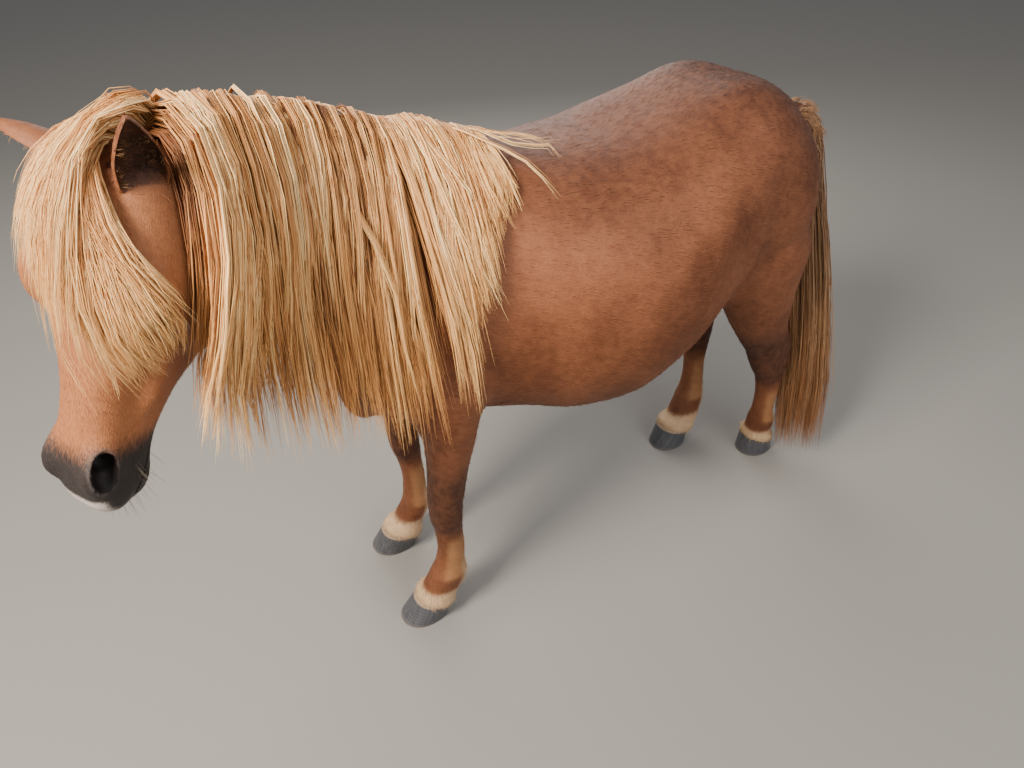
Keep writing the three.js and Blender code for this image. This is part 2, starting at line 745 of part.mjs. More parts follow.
const EAR = { length: 108, width: 27, depth: 17 };
function ear({ root, tip, faces }, grow = 0, filled = false) {
  const up = tip.clone().normalize();
  const open = faces.clone().addScaledVector(up, -faces.dot(up)).normalize();
  const across = new THREE.Vector3().crossVectors(up, open);
  const rows = table(
    ["width", "depth", "cup", "lean"],
    [
      [-0.14, 0.62, 0.9, 0, 0],
      [0, 0.72, 0.95, 0, 0],
      [0.1, 0.86, 1, 0.35, 0],
      [0.25, 1, 1, 0.7, 0.01],
      [0.45, 0.98, 0.92, 0.76, 0.03],
      [0.65, 0.78, 0.75, 0.72, 0.07],
      [0.82, 0.5, 0.52, 0.6, 0.12],
      [0.94, 0.24, 0.34, 0.3, 0.17],
      [1, 0.06, 0.2, 0, 0.2],
    ],
  );
  const at = (u, sideways, forwards) =>
    root.clone()
      .addScaledVector(up, u * EAR.length)
      .addScaledVector(across, sideways)
      .addScaledVector(open, forwards + rows.lean(u) * EAR.length * 0.3);
  const stations = [-0.14, 0, 0.07, 0.16, 0.28, 0.42, 0.56, 0.7, 0.82, 0.91, 0.97];
  const rings = stations.map((u) => {
    const half = EAR.width * rows.width(u) + grow;
    const back = EAR.depth * rows.depth(u) + grow;
    const hollow = EAR.depth * rows.depth(u) * rows.cup(u) * 1.5;
    const rim = 0.45 * back;
    const points = [];
    for (let j = 0; j < 9; j++) {
      const turn = Math.PI * (j / 8);
      points.push(at(u, Math.cos(turn) * half, rim - Math.sin(turn) * (back + rim)));
    }
    for (let j = 1; j < 6; j++) {
      const turn = Math.PI * (1 - j / 6);
      const wall = Math.max(0.55, 1 - 5 / half);
      const deep = filled ? 0 : Math.min(hollow, back + rim - 3.5);
      points.push(at(u, Math.cos(turn) * half * wall, rim + 2 + grow - Math.sin(turn) * deep));
    }
    return points;
  });
  return solidFromRings([...rings, [at(1 + (2 * grow) / EAR.length, 0, 0.4 * EAR.depth * 0.2)]]);
}
const earPoses = {
  ear_left: {
    root: headToWorld(50, 20, -38),
    tip: vec(0.4, 0, 0.92),
    faces: vec(0.9, 0.12, -0.4),
  },
  ear_right: {
    root: headToWorld(-48, 14, -40),
    tip: vec(-0.69, -0.61, 0.4),
    faces: vec(0.2, -0.55, -0.75),
  },
};
const CLEAR = 0.6; // how far a piece is grown where it clears its neighbour
const headPlus = grown(headWhole, CLEAR);
const bodyPlus = grown(bodyWhole, CLEAR);
const earSolids = Object.fromEntries(
  Object.entries(earPoses).map(([name, pose]) => [
    name,
    largest(ear(pose).subtract(headPlus).subtract(bodyPlus)),
  ]),
);
const earsPlus = joined(Object.values(earPoses).map((pose) => ear(pose, 1.2, true)));

// Legs below the torso, in two pieces each, and hooves

function slantedRing(count, x, front, back, half, zFront, zBack, squareness = 2.15) {
  const middle = (front + back) / 2;
  const reachY = (back - front) / 2;
  return Array.from({ length: count }, (_, j) => {
    const turn = (2 * Math.PI * j) / count;
    const c = Math.cos(turn);
    const d = Math.sin(turn);
    const px = Math.sign(c) * Math.abs(c) ** (2 / squareness) * half;
    const py = -Math.sign(d) * Math.abs(d) ** (2 / squareness) * reachY;
    const t = (py / reachY + 1) / 2;
    return vec(x + px, middle + py, zFront + (zBack - zFront) * t);
  });
}
const SIDES = 12;
const CORONET = { front: 62, back: 38, half: 40 }; // heights of its front and back, and half its width
const JOINT = { fore: 318, hind: 366 }; // knee and hock, where each leg is parted
// Each hoof: its middle, front, back and half width on the ground, then its middle, front and
// back at the coronet.
const hooves = {
  foreleg_left: { x: 75, front: -78, back: 22, half: 42, rim: { x: 83, front: -41, back: 38 } },
  foreleg_right: { x: -134, front: -57, back: 44, half: 42, rim: { x: -120, front: -29, back: 57 } },
  hindleg_left: { x: 57, front: 880, back: 972, half: 40, rim: { x: 60, front: 884, back: 962 } },
  hindleg_right: { x: -76, front: 702, back: 794, half: 40, rim: { x: -78, front: 724, back: 806 } },
};
const legPieces = {};
for (const [name, shape] of Object.entries(legs)) {
  const fore = name.startsWith("fore");
  const top = fore ? FORE_CUT : HIND_CUT;
  const joint = fore ? JOINT.fore : JOINT.hind;
  const { rim } = hooves[name];
  const upperHeights = fore
    ? [joint + GAP / 2, 332, 352, 378, 408, 442, top - GAP]
    : [joint + GAP / 2, 378, 392, 410, 432, 456, 480, top - GAP];
  const lowerHeights = fore
    ? [78, 92, 108, 124, 140, 158, 182, 215, 250, 276, 298, joint - GAP / 2]
    : [78, 92, 108, 124, 140, 158, 182, 215, 250, 285, 318, 345, joint - GAP / 2];
  legPieces[name + "_upper"] = solidFromRings(skinRings(shape, shape.field, upperHeights, SIDES, 2));
  const coronet = slantedRing(
    SIDES, rim.x, rim.front, rim.back, CORONET.half, CORONET.front + GAP, CORONET.back + GAP,
  );
  const pastern = slantedRing(
    SIDES, rim.x, rim.front + 1, rim.back, CORONET.half - 0.5, CORONET.front + 8, CORONET.back + 10,
  );
  legPieces[name + "_lower"] = solidFromRings([
    coronet,
    pastern,
    ...skinRings(shape, shape.field, lowerHeights, SIDES, 2),
  ]);
}

// A hoof: a wall that flares from the coronet to the ground, hollowed a little underneath,
// with a notch between the heels.
function hoof({ x, front, back, half, rim }) {
  const SOLE_DEPTH = 4;
  const rings = [
    slantedRing(SIDES, x, front, back, half, 0, 0),
    slantedRing(SIDES, x, front, back, half, 7, 4),
    slantedRing(
      SIDES, (x + rim.x) / 2, (front + rim.front) / 2, (back + rim.back) / 2 + 1, (half + 38) / 2, 32, 20,
    ),
    slantedRing(
      SIDES, rim.x, rim.front + 1, rim.back - 1, CORONET.half - 1, CORONET.front - 4, CORONET.back - 4,
    ),
    slantedRing(SIDES, rim.x, rim.front, rim.back, CORONET.half, CORONET.front, CORONET.back),
  ];
  const sole = solidFromRings([
    slantedRing(SIDES, x, front + 11, back - 16, half - 10, -5, -5),
    slantedRing(SIDES, x, front + 14, back - 18, half - 13, SOLE_DEPTH, SOLE_DEPTH),
  ]);
  const notch = solidFromRings([
    [vec(x - 8, back + 6, -4), vec(x, back - 34, -4), vec(x + 8, back + 6, -4)],
    [vec(x - 4, back + 6, 22), vec(x, back - 14, 14), vec(x + 4, back + 6, 22)],
  ]);
  return largest(solidFromRings(rings).subtract(sole).subtract(notch));
}

// Locks of hair

function seeded(seed) {
  let state = seed >>> 0;
  return () => {
    state = (state + 0x6d2b79f5) >>> 0;
    let t = Math.imul(state ^ (state >>> 15), 1 | state);
    t = (t + Math.imul(t ^ (t >>> 7), 61 | t)) ^ t;
    return ((t ^ (t >>> 14)) >>> 0) / 4294967296;
  };
}

// Distance to a rod that narrows from one end to the other.
function rod(from, to, thickFrom, thickTo) {
  const line = new THREE.Line3(from, to);
  const nearest = vec(0, 0, 0);
  return (p) => {
    const t = line.closestPointToPointParameter(p, true);
    return p.distanceTo(line.at(t, nearest)) - (thickFrom + (thickTo - thickFrom) * t);
  };
}

// What the mane and forelock lie over: the body, the ears and the bulge of each eye.
const earRods = Object.values(earPoses).map(({ root, tip }) =>
  rod(root, root.clone().addScaledVector(tip.clone().normalize(), EAR.length), 30, 12),
);
const eyeRods = [1, -1].map((s) => rod(eyeMiddle(s), eyeMiddle(s), EYE.radius + 7, EYE.radius + 7));
const hairBed = (p) => Math.min(bodyField(p), ...earRods.map((f) => f(p)), ...eyeRods.map((f) => f(p)));

// The nearest place on a field's surface.
function onSurface(field, p) {
  const q = p.clone();
  for (let i = 0; i < 8; i++) q.addScaledVector(outward(field, q), -0.9 * field(q));
  return q;
}

// A lock is a flat strip that leaves its root a given way and hangs at its tip. Near the root
// it is drawn down onto what it lies on, and all along it stays at least its lift above that.
// Its section is a lens that narrows to the tip, and its root is sunk in the flesh.
const LOCK = { sunk: 14, stations: [0, 0.09, 0.21, 0.38, 0.64, 1], drawn: 0.5 };
function lock(shape) {
  const { root, leaves, tip, width, thick, lift, gather, stiff } = shape;
  const { bed = hairBed, faces = null, tilt = 0 } = shape;
  const way = leaves.clone().normalize();
  const span = root.distanceTo(tip);
  const curve = new THREE.CubicBezierCurve3(
    root,
    root.clone().addScaledVector(way, span * stiff),
    tip.clone().addScaledVector(Z, span * 0.35),
    tip,
  );
  const path = LOCK.stations.map((t) => {
    const p = curve.getPoint(t);
    const needed = lift * Math.min(1, 0.3 + 5 * t) + thick / 2 + 1;
    for (let round = 0; t > 0 && round < 4; round++) {
      const off = bed(p) - needed;
      const drawn = off < 0 ? 1 : 0.9 * Math.max(0, 1 - t / LOCK.drawn);
      p.addScaledVector(outward(bed, p), -off * drawn);
    }
    return p;
  });
  path.unshift(root.clone().addScaledVector(way, -LOCK.sunk));
  const last = path.length - 1;
  const normal = outward(bed, root);
  const rings = path.map((q, i) => {
    const skinWay = faces ? faces(q) : outward(bed, q);
    normal.lerp(skinWay, bed(q) < 70 || faces ? 0.6 : 0.1).normalize();
    if (i === last) return [q];
    const along = path[Math.min(last, i + 1)].clone().sub(path[Math.max(0, i - 1)]).normalize();
    const side = new THREE.Vector3().crossVectors(along, normal).normalize();
    const face = new THREE.Vector3().crossVectors(side, along);
    side.applyAxisAngle(along, tilt);
    face.applyAxisAngle(along, tilt);
    const t = i === 0 ? 0 : LOCK.stations[i - 1];
    const opened = gather + (1 - gather) * Math.sin(Math.PI * Math.min(0.5, t * 1.6));
    const taper = opened * Math.pow(1 - t ** 2.4, 0.7);
    const [w, h] = [(width / 2) * taper, (thick / 2) * Math.max(0.4, taper)];
    return [
      q.clone().addScaledVector(side, w),
      q.clone().addScaledVector(face, h),
      q.clone().addScaledVector(side, -w),
      q.clone().addScaledVector(face, -h),
    ];
  });
  return solidFromRings(rings);
}

// Mane: locks along the crest from behind the ears to the withers, in three layers that lie
// over one another, nearly all falling to the left. The table gives each tip by its root's y.

const crest = (y, sideways = 0) => {
  const across = neckRows.across(y);
  const top = y < 60 ? neckRows.top(y) : trunkRows.top(y);
  return onSurface(bodyField, vec(across + sideways, y, top - Math.abs(sideways) * 0.3));
};
const MANE = { from: -312, to: 172, locks: 22, width: 56, thick: 8, gather: 0.6, lifts: [3, 14, 25] };
const maneTips = table(
  ["x", "y", "z"],
  [
    [-300, 222, -368, 730],
    [-260, 220, -318, 712],
    [-210, 212, -258, 700],
    [-150, 205, -186, 655],
    [-90, 202, -136, 640],
    [-30, 212, -66, 594],
    [20, 222, -10, 578],
    [60, 240, 44, 630],
    [95, 226, 80, 735],
    [130, 205, 126, 800],
    [172, 165, 212, 872],
  ],
);
const maneRise = curve([-300, -110], [1.9, 1]); // the hair stands higher behind the ears
const maneLocks = [];
{
  const random = seeded(11);
  for (let i = 0; i < MANE.locks; i++) {
    const layer = (2 * i) % 3;
    const y = MANE.from + ((MANE.to - MANE.from) * (i + 0.3 + 0.4 * random())) / MANE.locks;
    const root = crest(y, 15 - 15 * layer);
    const tip = vec(maneTips.x(y), maneTips.y(y), maneTips.z(y));
    tip.lerp(root, 0.12 * random()).add(vec(8 * layer, 16 * (random() - 0.5), 0));
    maneLocks.push(
      lock({
        root, leaves: vec(0.7 - 0.3 * layer, -0.1, 0.8), tip,
        width: MANE.width * (0.9 + 0.2 * random()), thick: MANE.thick, gather: MANE.gather,
        lift: MANE.lifts[layer] * maneRise(y), stiff: 0.2,
      }),
    );
  }
  const FAR_LOCKS = 4; // short ones that fall to the right
  for (let i = 0; i < FAR_LOCKS; i++) {
    const y = -270 + (330 * i) / (FAR_LOCKS - 1);
    const root = crest(y, -30);
    const tip = root.clone().add(vec(-70, 20 - 20 * random(), -150 - 50 * random()));
    maneLocks.push(
      lock({
        root, leaves: vec(-0.6, 0, 0.8), tip,
        width: MANE.width * 0.8, thick: MANE.thick, gather: MANE.gather, lift: MANE.lifts[0], stiff: 0.2,
      }),
    );
  }
}

// Forelock: locks from between the ears that fall over the forehead and the near eye. The table
// gives each tip in the head's frame, by the root's place across the poll.
const FORELOCK = { from: -38, to: 50, locks: 10, width: 36, thick: 7, gather: 0.4, lifts: [12, 26] };
const forelockTips = table(
  ["left", "face", "brow"],
  [
    [-34, -60, 72, -12],
    [-24, -46, 112, 4],
    [-14, -22, 160, 4],
    [-4, 4, 180, 2],
    [5, 38, 180, -6],
    [14, 58, 208, -30],
    [22, 64, 246, -58],
    [30, 68, 232, -72],
    [38, 78, 205, -78],
    [46, 92, 172, -68],
  ],
);
const forelockLocks = [];
{
  const random = seeded(5);
  for (let i = 0; i < FORELOCK.locks; i++) {
    const layer = i % 2;
    const x = FORELOCK.from + ((FORELOCK.to - FORELOCK.from) * (i + 0.5)) / FORELOCK.locks;
    const root = onSurface(bodyField, headToWorld(x, 8 - 22 * layer + 6 * random(), -6 - 0.008 * x * x));
    const tip = headToWorld(forelockTips.left(x), forelockTips.face(x), forelockTips.brow(x));
    tip.lerp(root, 0.12 * random());
    const leaves = headToWorld(0.008 * x, 0.25, 0.95).sub(headToWorld(0, 0, 0));
    forelockLocks.push(
      lock({
        root, leaves, tip, width: FORELOCK.width * (0.9 + 0.25 * random()), thick: FORELOCK.thick,
        gather: FORELOCK.gather, lift: FORELOCK.lifts[layer], stiff: 0.22,
      }),
    );
  }
}

// Tail: a dock that hangs from the croup, and rings of locks from it that reach nearly to the
// floor, swung to the left.
const DOCK = [
  { at: vec(0, 864, 858), radius: 25 },
  { at: vec(2, 898, 852), radius: 25 },
  { at: vec(5, 926, 826), radius: 23 },
  { at: vec(9, 943, 784), radius: 19 },
  { at: vec(14, 950, 738), radius: 12 },
];
const dockCurve = new THREE.CatmullRomCurve3(DOCK.map(({ at }) => at));
const dock = solidFromRings(
  DOCK.map(({ at, radius }, i) => {
    const along = dockCurve.getTangent(i / (DOCK.length - 1));
    const back = new THREE.Vector3().crossVectors(X, along).normalize();
    return Array.from({ length: 10 }, (_, j) => {
      const turn = (2 * Math.PI * j) / 10;
      return at.clone()
        .addScaledVector(X, Math.cos(turn) * radius)
        .addScaledVector(back, Math.sin(turn) * radius * 0.85);
    });
  }),
);
const dockRods = DOCK.slice(1).map(({ at, radius }, i) => rod(DOCK[i].at, at, DOCK[i].radius, radius));
const tailBed = (p) => Math.min(bodyField(p), ...dockRods.map((f) => f(p)));

// The end of the tail spreads over an oval: its middle, and its reach along two level ways.
const TAIL_END = { middle: vec(136, 974, 0), wide: vec(27, 48, 0), deep: vec(24, -14, 0), lowest: 22 };
const tailAxis = new THREE.CatmullRomCurve3([
  ...DOCK.map(({ at }) => at),
  vec(44, 958, 520),
  vec(92, 974, 280),
  TAIL_END.middle,
]);
const tailSpine = tailAxis.getPoints(40);
const tailOut = (p) => {
  const nearest = tailSpine.reduce((a, b) => (p.distanceTo(a) < p.distanceTo(b) ? a : b));
  return p.clone().sub(nearest).normalize();
};
// Each ring: where on the dock it grows, how many locks, how far out its tips are, its angles.
const TAIL_RINGS = [
  { along: 0.92, locks: 3, out: 0.4, middle: 0, spread: 2 * Math.PI },
  { along: 0.5, locks: 6, out: 1, middle: -Math.PI / 4, spread: 1.6 * Math.PI },
  { along: 0.08, locks: 3, out: 1.15, middle: -Math.PI / 4, spread: 0.8 * Math.PI },
];
const tailLocks = [];
{
  const random = seeded(3);
  for (const { along, locks, out, middle, spread } of TAIL_RINGS) {
    for (let i = 0; i < locks; i++) {
      const turn = middle + spread * ((i + 0.5) / locks - 0.5);
      const ways = TAIL_END.wide.clone().multiplyScalar(Math.cos(turn));
      ways.addScaledVector(TAIL_END.deep, Math.sin(turn));
      const leaves = ways.clone().normalize().add(vec(0, 0.2, -0.5)).normalize();
      const root = dockCurve.getPoint(along).addScaledVector(leaves, 8);
      const tip = TAIL_END.middle.clone().addScaledVector(ways, out * (0.92 + 0.12 * random()));
      tip.z = TAIL_END.lowest + 70 * random() * random() + 30 * (1 - out);
      tailLocks.push(
        lock({
          root, leaves, tip, width: 46, thick: 11, gather: 0.35, lift: 6, stiff: 0.12,
          bed: tailBed, faces: tailOut, tilt: 0.3,
        }),
      );
    }
  }
}

// Forelock and mane are parted by a plane from the poll down behind the left ear.
const PARTING = {
  point: headToWorld(0, -25, -26),
  normal: headToWorld(0.216, 0.229, 0.949).sub(headToWorld(0, 0, 0)).normalize(),
};
const mane = joined(maneLocks).intersect(behind(PARTING, -GAP)).subtract(headPlus);
const torsoPlus = grown(torsoSolid, CLEAR);
const neckSolid = largest(joined([neckBare, mane.subtract(torsoPlus)]).subtract(earsPlus));
const forelock = joined(forelockLocks)
  .intersect(aheadOf(PARTING, GAP))
  .subtract(grown(neckBare, CLEAR))
  .subtract(earsPlus)
  .subtract(joined(sockets));
const headSolid = largest(joined([headBare, forelock]));
const hindFeet = joined(
  ["hindleg_left", "hindleg_right"].flatMap((name) => [
    grown(hoof(hooves[name]), CLEAR),
    grown(legPieces[name + "_lower"], CLEAR),
  ]),
);
const tailSolid = largest(joined([dock, ...tailLocks]).subtract(bodyPlus).subtract(hindFeet));

const pony = new THREE.Group();
function geometryOf(solid) {
  const mesh = solid.getMesh();
  const count = mesh.numVert;
  const positions = new Float32Array(count * 3);
  for (let i = 0; i < count; i++) {
    positions.set(mesh.vertProperties.subarray(i * mesh.numProp, i * mesh.numProp + 3), i * 3);
  }
  const geometry = new THREE.BufferGeometry();
  geometry.setAttribute("position", new THREE.BufferAttribute(positions, 3));
  geometry.setIndex(new THREE.BufferAttribute(mesh.triVerts, 1));
  return geometry;
}
function addNode(name, solid, finish) {
  const mesh = new THREE.Mesh(geometryOf(solid), new THREE.MeshStandardMaterial(finish));
  mesh.name = name;
  pony.add(mesh);
}
const CHESTNUT = { color: "#8a4a2a", roughness: 0.6, metalness: 0 };
const FLAXEN = { color: "#d8b27a", roughness: 0.5, metalness: 0 };
const SLATE = { color: "#4a4a4c", roughness: 0.55, metalness: 0 };
const DARK = { color: "#20140e", roughness: 0.08, metalness: 0 };
addNode("torso", torsoSolid, CHESTNUT);
addNode("neck", neckSolid, FLAXEN);
addNode("head", headSolid, CHESTNUT);
addNode("tail", tailSolid, FLAXEN);
for (const [name, solid] of Object.entries(earSolids)) addNode(name, solid, CHESTNUT);
for (const [name, solid] of Object.entries(eyeBalls)) addNode(name, solid, DARK);
for (const [name, solid] of Object.entries(legPieces)) addNode(name, solid, CHESTNUT);
for (const [name, shape] of Object.entries(hooves)) {
  addNode(name.replace("leg", "hoof"), hoof(shape), SLATE);
}

// The origin is on the floor, under the middle of the whole.
const bounds = new THREE.Box3().setFromObject(pony);
pony.position.set(-(bounds.min.x + bounds.max.x) / 2, -(bounds.min.y + bounds.max.y) / 2, -bounds.min.z);
export default pony;
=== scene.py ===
import math

import bpy
import numpy as np
from mathutils import Matrix, Vector


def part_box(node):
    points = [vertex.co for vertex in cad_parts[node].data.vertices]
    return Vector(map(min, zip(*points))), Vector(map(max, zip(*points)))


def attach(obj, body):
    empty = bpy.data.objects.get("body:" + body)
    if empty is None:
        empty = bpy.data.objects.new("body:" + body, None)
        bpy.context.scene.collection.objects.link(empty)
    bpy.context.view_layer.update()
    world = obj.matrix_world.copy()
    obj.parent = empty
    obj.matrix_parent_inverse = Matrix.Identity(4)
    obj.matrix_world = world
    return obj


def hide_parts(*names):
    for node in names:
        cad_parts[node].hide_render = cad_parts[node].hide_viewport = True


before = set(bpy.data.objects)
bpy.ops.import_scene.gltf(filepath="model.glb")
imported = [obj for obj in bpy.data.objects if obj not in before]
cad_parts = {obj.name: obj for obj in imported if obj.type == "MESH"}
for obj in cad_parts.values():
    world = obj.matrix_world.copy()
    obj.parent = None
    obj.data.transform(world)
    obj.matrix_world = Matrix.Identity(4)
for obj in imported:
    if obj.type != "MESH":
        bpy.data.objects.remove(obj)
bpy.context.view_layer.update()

# The pony's measures
# They are taken in millimetres in the animal's own frame: x to its left, y towards its tail
# from a point under the fore feet, z up. The left fore hoof places that frame in the row's.
MM = 0.001
HOOF_EDGE = (33, -78)  # the inner edge and the toe of the left fore hoof
hoof_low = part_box("forehoof_left")[0]
ROW_SHIFT = np.array([hoof_low.x - HOOF_EDGE[0] * MM, hoof_low.y - HOOF_EDGE[1] * MM, 0.0])


def to_row(points):
    """Points of the animal's frame in the row's, in metres."""
    return np.asarray(points, float) * MM + ROW_SHIFT


def curve(keys, values):
    """A column of numbers against a rising key, on a curve that never overshoots its rows."""
    keys, values = np.asarray(keys, float), np.asarray(values, float)
    slope = np.diff(values) / np.diff(keys)
    tangent = np.concatenate([slope[:1], np.zeros(len(keys) - 2), slope[-1:]])
    for i in range(1, len(keys) - 1):
        if slope[i - 1] * slope[i] > 0:
            tangent[i] = 2 * slope[i - 1] * slope[i] / (slope[i - 1] + slope[i])

    def read(key):
        k = np.clip(key, keys[0], keys[-1])
        i = np.clip(np.searchsorted(keys, k, side="right") - 1, 0, len(keys) - 2)
        span = keys[i + 1] - keys[i]
        t = (k - keys[i]) / span
        return (
            (2 * t**3 - 3 * t**2 + 1) * values[i]
            + (t**3 - 2 * t**2 + t) * span * tangent[i]
            + (3 * t**2 - 2 * t**3) * values[i + 1]
            + (t**3 - t**2) * span * tangent[i + 1]
        )

    return read


def table(names, rows):
    """A curve for each named column, against the first column."""
    columns = list(zip(*rows))
    return {name: curve(columns[0], columns[i + 1]) for i, name in enumerate(names)}


def ramp(low, high, value):
    """From 0 at the first value to 1 at the second, smoothed, whichever is the larger."""
    t = np.clip((np.asarray(value, float) - low) / (high - low), 0, 1)
    return t * t * (3 - 2 * t)


# Flesh
# Trunk, neck, head and legs are smooth forms that run into one another, as muscle under one
# hide does. Each form is a function of space that is negative inside and grows outwards.
FAR = 1e3  # stands for "nowhere near"
REACH = 90  # how far outside its own box a form is still looked at


def smallest(a, b, blend):
    """The smaller of two values, rounded where they are nearly the same."""
    h = np.maximum(blend - np.abs(a - b), 0) / blend
    return np.minimum(a, b) - h * h * blend / 4


class Form:
    """A form along one axis. size(u) gives its middle and its reach to the side, up and down."""

    def __init__(self, along, side, up, start, end, round_start, round_end, size):
        self.along, self.side, self.up = (np.asarray(v, float) for v in (along, side, up))
        self.start, self.end = start, end
        self.round_start, self.round_end = round_start, round_end
        self.size = size
        stations = np.linspace(start, end, 40)
        s = size(stations)
        corners = []
        for across in (s["across"] - s["side"], s["across"] + s["side"]):
            for high in (s["high"] - s["down"], s["high"] + s["up"]):
                corners.append(
                    np.outer(stations, self.along)
                    + np.outer(across, self.side)
                    + np.outer(high, self.up)
                )
        corners = np.concatenate(corners)
        self.low, self.high = corners.min(0) - REACH, corners.max(0) + REACH

    def closing(self, u):
        """How much of its full size the form has near its round ends."""
        a = np.clip((self.start + self.round_start - u) / self.round_start, 0, 1)
        b = np.clip((u - self.end + self.round_end) / self.round_end, 0, 1)
        return np.sqrt(np.maximum(1e-4, (1 - a * a) * (1 - b * b)))

    def field(self, p):
        u = p @ self.along
        inside = np.clip(u, self.start, self.end)
        s = self.size(inside)
        shrink = self.closing(inside)
        across = p @ self.side - s["across"]
        high = p @ self.up - s["high"]
        reach = np.where(high > 0, s["up"], s["down"])
        power = np.where(high > 0, s["up_power"], s["down_power"])
        q = (np.abs(across) / (s["side"] * shrink)) ** power
        q += (np.abs(high) / (reach * shrink)) ** power
        rho = np.maximum(1e-6, q ** (1 / power))
        r = np.hypot(across, high)
        value = r * (1 - 1 / rho) - np.where(r < 1e-3, s["side"] * shrink, 0)
        past = np.abs(u - inside)
        return np.where(past == 0, value, np.hypot(np.maximum(value, 0), past))


class Egg:
    """An egg of muscle: its middle, three radii, and its lean about x in degrees."""

    def __init__(self, x, y, z, rx, ry, rz, lean=0):
        self.middle, self.radii = np.array([x, y, z], float), (rx, ry, rz)
        self.cos, self.sin = math.cos(math.radians(lean)), math.sin(math.radians(lean))
        self.low = self.middle - max(self.radii) - REACH
        self.high = self.middle + max(self.radii) + REACH

    def field(self, p):
        d = p - self.middle
        rx, ry, rz = self.radii
        r = np.sqrt(
            (d[:, 0] / rx) ** 2
            + ((d[:, 1] * self.cos + d[:, 2] * self.sin) / ry) ** 2
            + ((d[:, 2] * self.cos - d[:, 1] * self.sin) / rz) ** 2
        )
        return (r - 1) * min(self.radii)


def blend_in(value, part, p, blend):
    """Joins a part into the values of a field, only where the part is near."""
    near = np.all((p > part.low) & (p < part.high), axis=1)
    if near.any():
        value[near] = smallest(value[near], part.field(p[near]), blend)
    return value


def level_size(rows):
    """The size function of a form that doesn't bend to the side, read from its table."""

    def size(u):
        high = rows["wide"](u)
        return {
            "across": 0 * u, "high": high, "side": rows["side"](u),
            "up": rows["top"](u) - high, "down": high - rows["bottom"](u),
            "up_power": rows["up_power"](u), "down_power": rows["down_power"](u),
        }

    return size


X_AXIS, Y_AXIS, Z_AXIS = np.eye(3)

trunk_rows = table(
    ["top", "bottom", "wide", "side", "up_power", "down_power"],
    [
        [-100, 790, 570, 680, 115, 2.2, 2.2],
        [-40, 880, 530, 690, 155, 2.1, 2.2],
        [40, 950, 505, 700, 172, 1.9, 2.2],
        [110, 978, 492, 705, 184, 1.85, 2.3],
        [200, 950, 464, 700, 208, 2.1, 2.25],
        [300, 927, 426, 685, 238, 2.4, 2.2],
        [400, 925, 414, 675, 252, 2.6, 2.1],
        [500, 942, 444, 690, 242, 2.7, 2.0],
        [600, 966, 508, 725, 212, 2.7, 2.0],
        [660, 973, 545, 745, 198, 2.6, 2.1],
        [720, 966, 566, 750, 184, 2.4, 2.2],
        [780, 947, 582, 750, 168, 2.2, 2.2],
        [840, 915, 606, 752, 150, 2.1, 2.2],
        [935, 862, 660, 765, 115, 2.0, 2.1],
    ],
)
trunk = Form(Y_AXIS, X_AXIS, Z_AXIS, -100, 935, 85, 170, level_size(trunk_rows))

neck_rows = table(
    ["across", "top", "bottom", "side"],
    [
        [-350, 146, 1090, 915, 58],
        [-300, 124, 1098, 885, 60],
        [-240, 100, 1094, 858, 64],
        [-160, 66, 1078, 812, 72],
        [-80, 34, 1052, 752, 84],
        [0, 10, 1020, 700, 100],
        [80, 0, 985, 680, 112],
        [150, 0, 945, 700, 110],
    ],
)


def neck_size(y):
    top, bottom = neck_rows["top"](y), neck_rows["bottom"](y)
    high = bottom + (top - bottom) * 0.42
    return {
        "across": neck_rows["across"](y), "high": high, "side": neck_rows["side"](y),
        "up": top - high, "down": high - bottom, "up_power": 1.9 + 0 * y, "down_power": 2.1 + 0 * y,
    }


neck = Form(Y_AXIS, X_AXIS, Z_AXIS, -350, 150, 40, 60, neck_size)

# The head has a frame of its own: to its left, down the face, and out of the forehead. In its
# table, top is the brow and bottom the jaw.
HEAD_SCALE = 1.03  # its table is for a head 430 long
HEAD_ORIGIN = np.array([145, -347, 1091])
head_left = np.array([0.847, 0.521, -0.105])
head_left /= np.linalg.norm(head_left)
head_face = np.array([0.158, -0.434, -0.887])
head_face -= head_face @ head_left * head_left
head_face /= np.linalg.norm(head_face)
head_brow = -np.cross(head_left, head_face)
HEAD_AXES = np.array([head_left, head_face, head_brow])


def from_head(points):
    """Points of the head's frame in the animal's."""
    return np.asarray(points, float) @ HEAD_AXES * HEAD_SCALE + HEAD_ORIGIN


def into_head(points):
    """Points of the animal's frame in the head's."""
    return (np.asarray(points, float) - HEAD_ORIGIN) @ HEAD_AXES.T / HEAD_SCALE


head_rows = table(
    ["top", "bottom", "wide", "side", "up_power", "down_power"],
    [
        [-25, -12, -130, -50, 50, 2.2, 2.2],
        [0, 0, -160, -52, 62, 2.3, 2.2],
        [45, 9, -196, -54, 80, 2.4, 2.2],
        [95, 11, -222, -52, 92, 2.5, 2.2],
        [140, 3, -228, -54, 86, 2.5, 2.3],
        [180, -10, -214, -60, 70, 2.4, 2.3],
        [225, -18, -188, -66, 56, 2.3, 2.3],
        [275, -23, -160, -72, 45, 2.3, 2.2],
        [320, -25, -142, -74, 43, 2.3, 2.2],
        [350, -26, -136, -76, 45, 2.4, 2.2],
        [375, -34, -132, -80, 45, 2.4, 2.2],
        [400, -49, -124, -83, 40, 2.3, 2.3],
        [418, -63, -109, -84, 33, 2.1, 2.2],
        [430, -73, -99, -85, 24, 2.0, 2.0],
    ],
)
skull = Form(Y_AXIS, X_AXIS, Z_AXIS, -25, 430, 40, 16, level_size(head_rows))
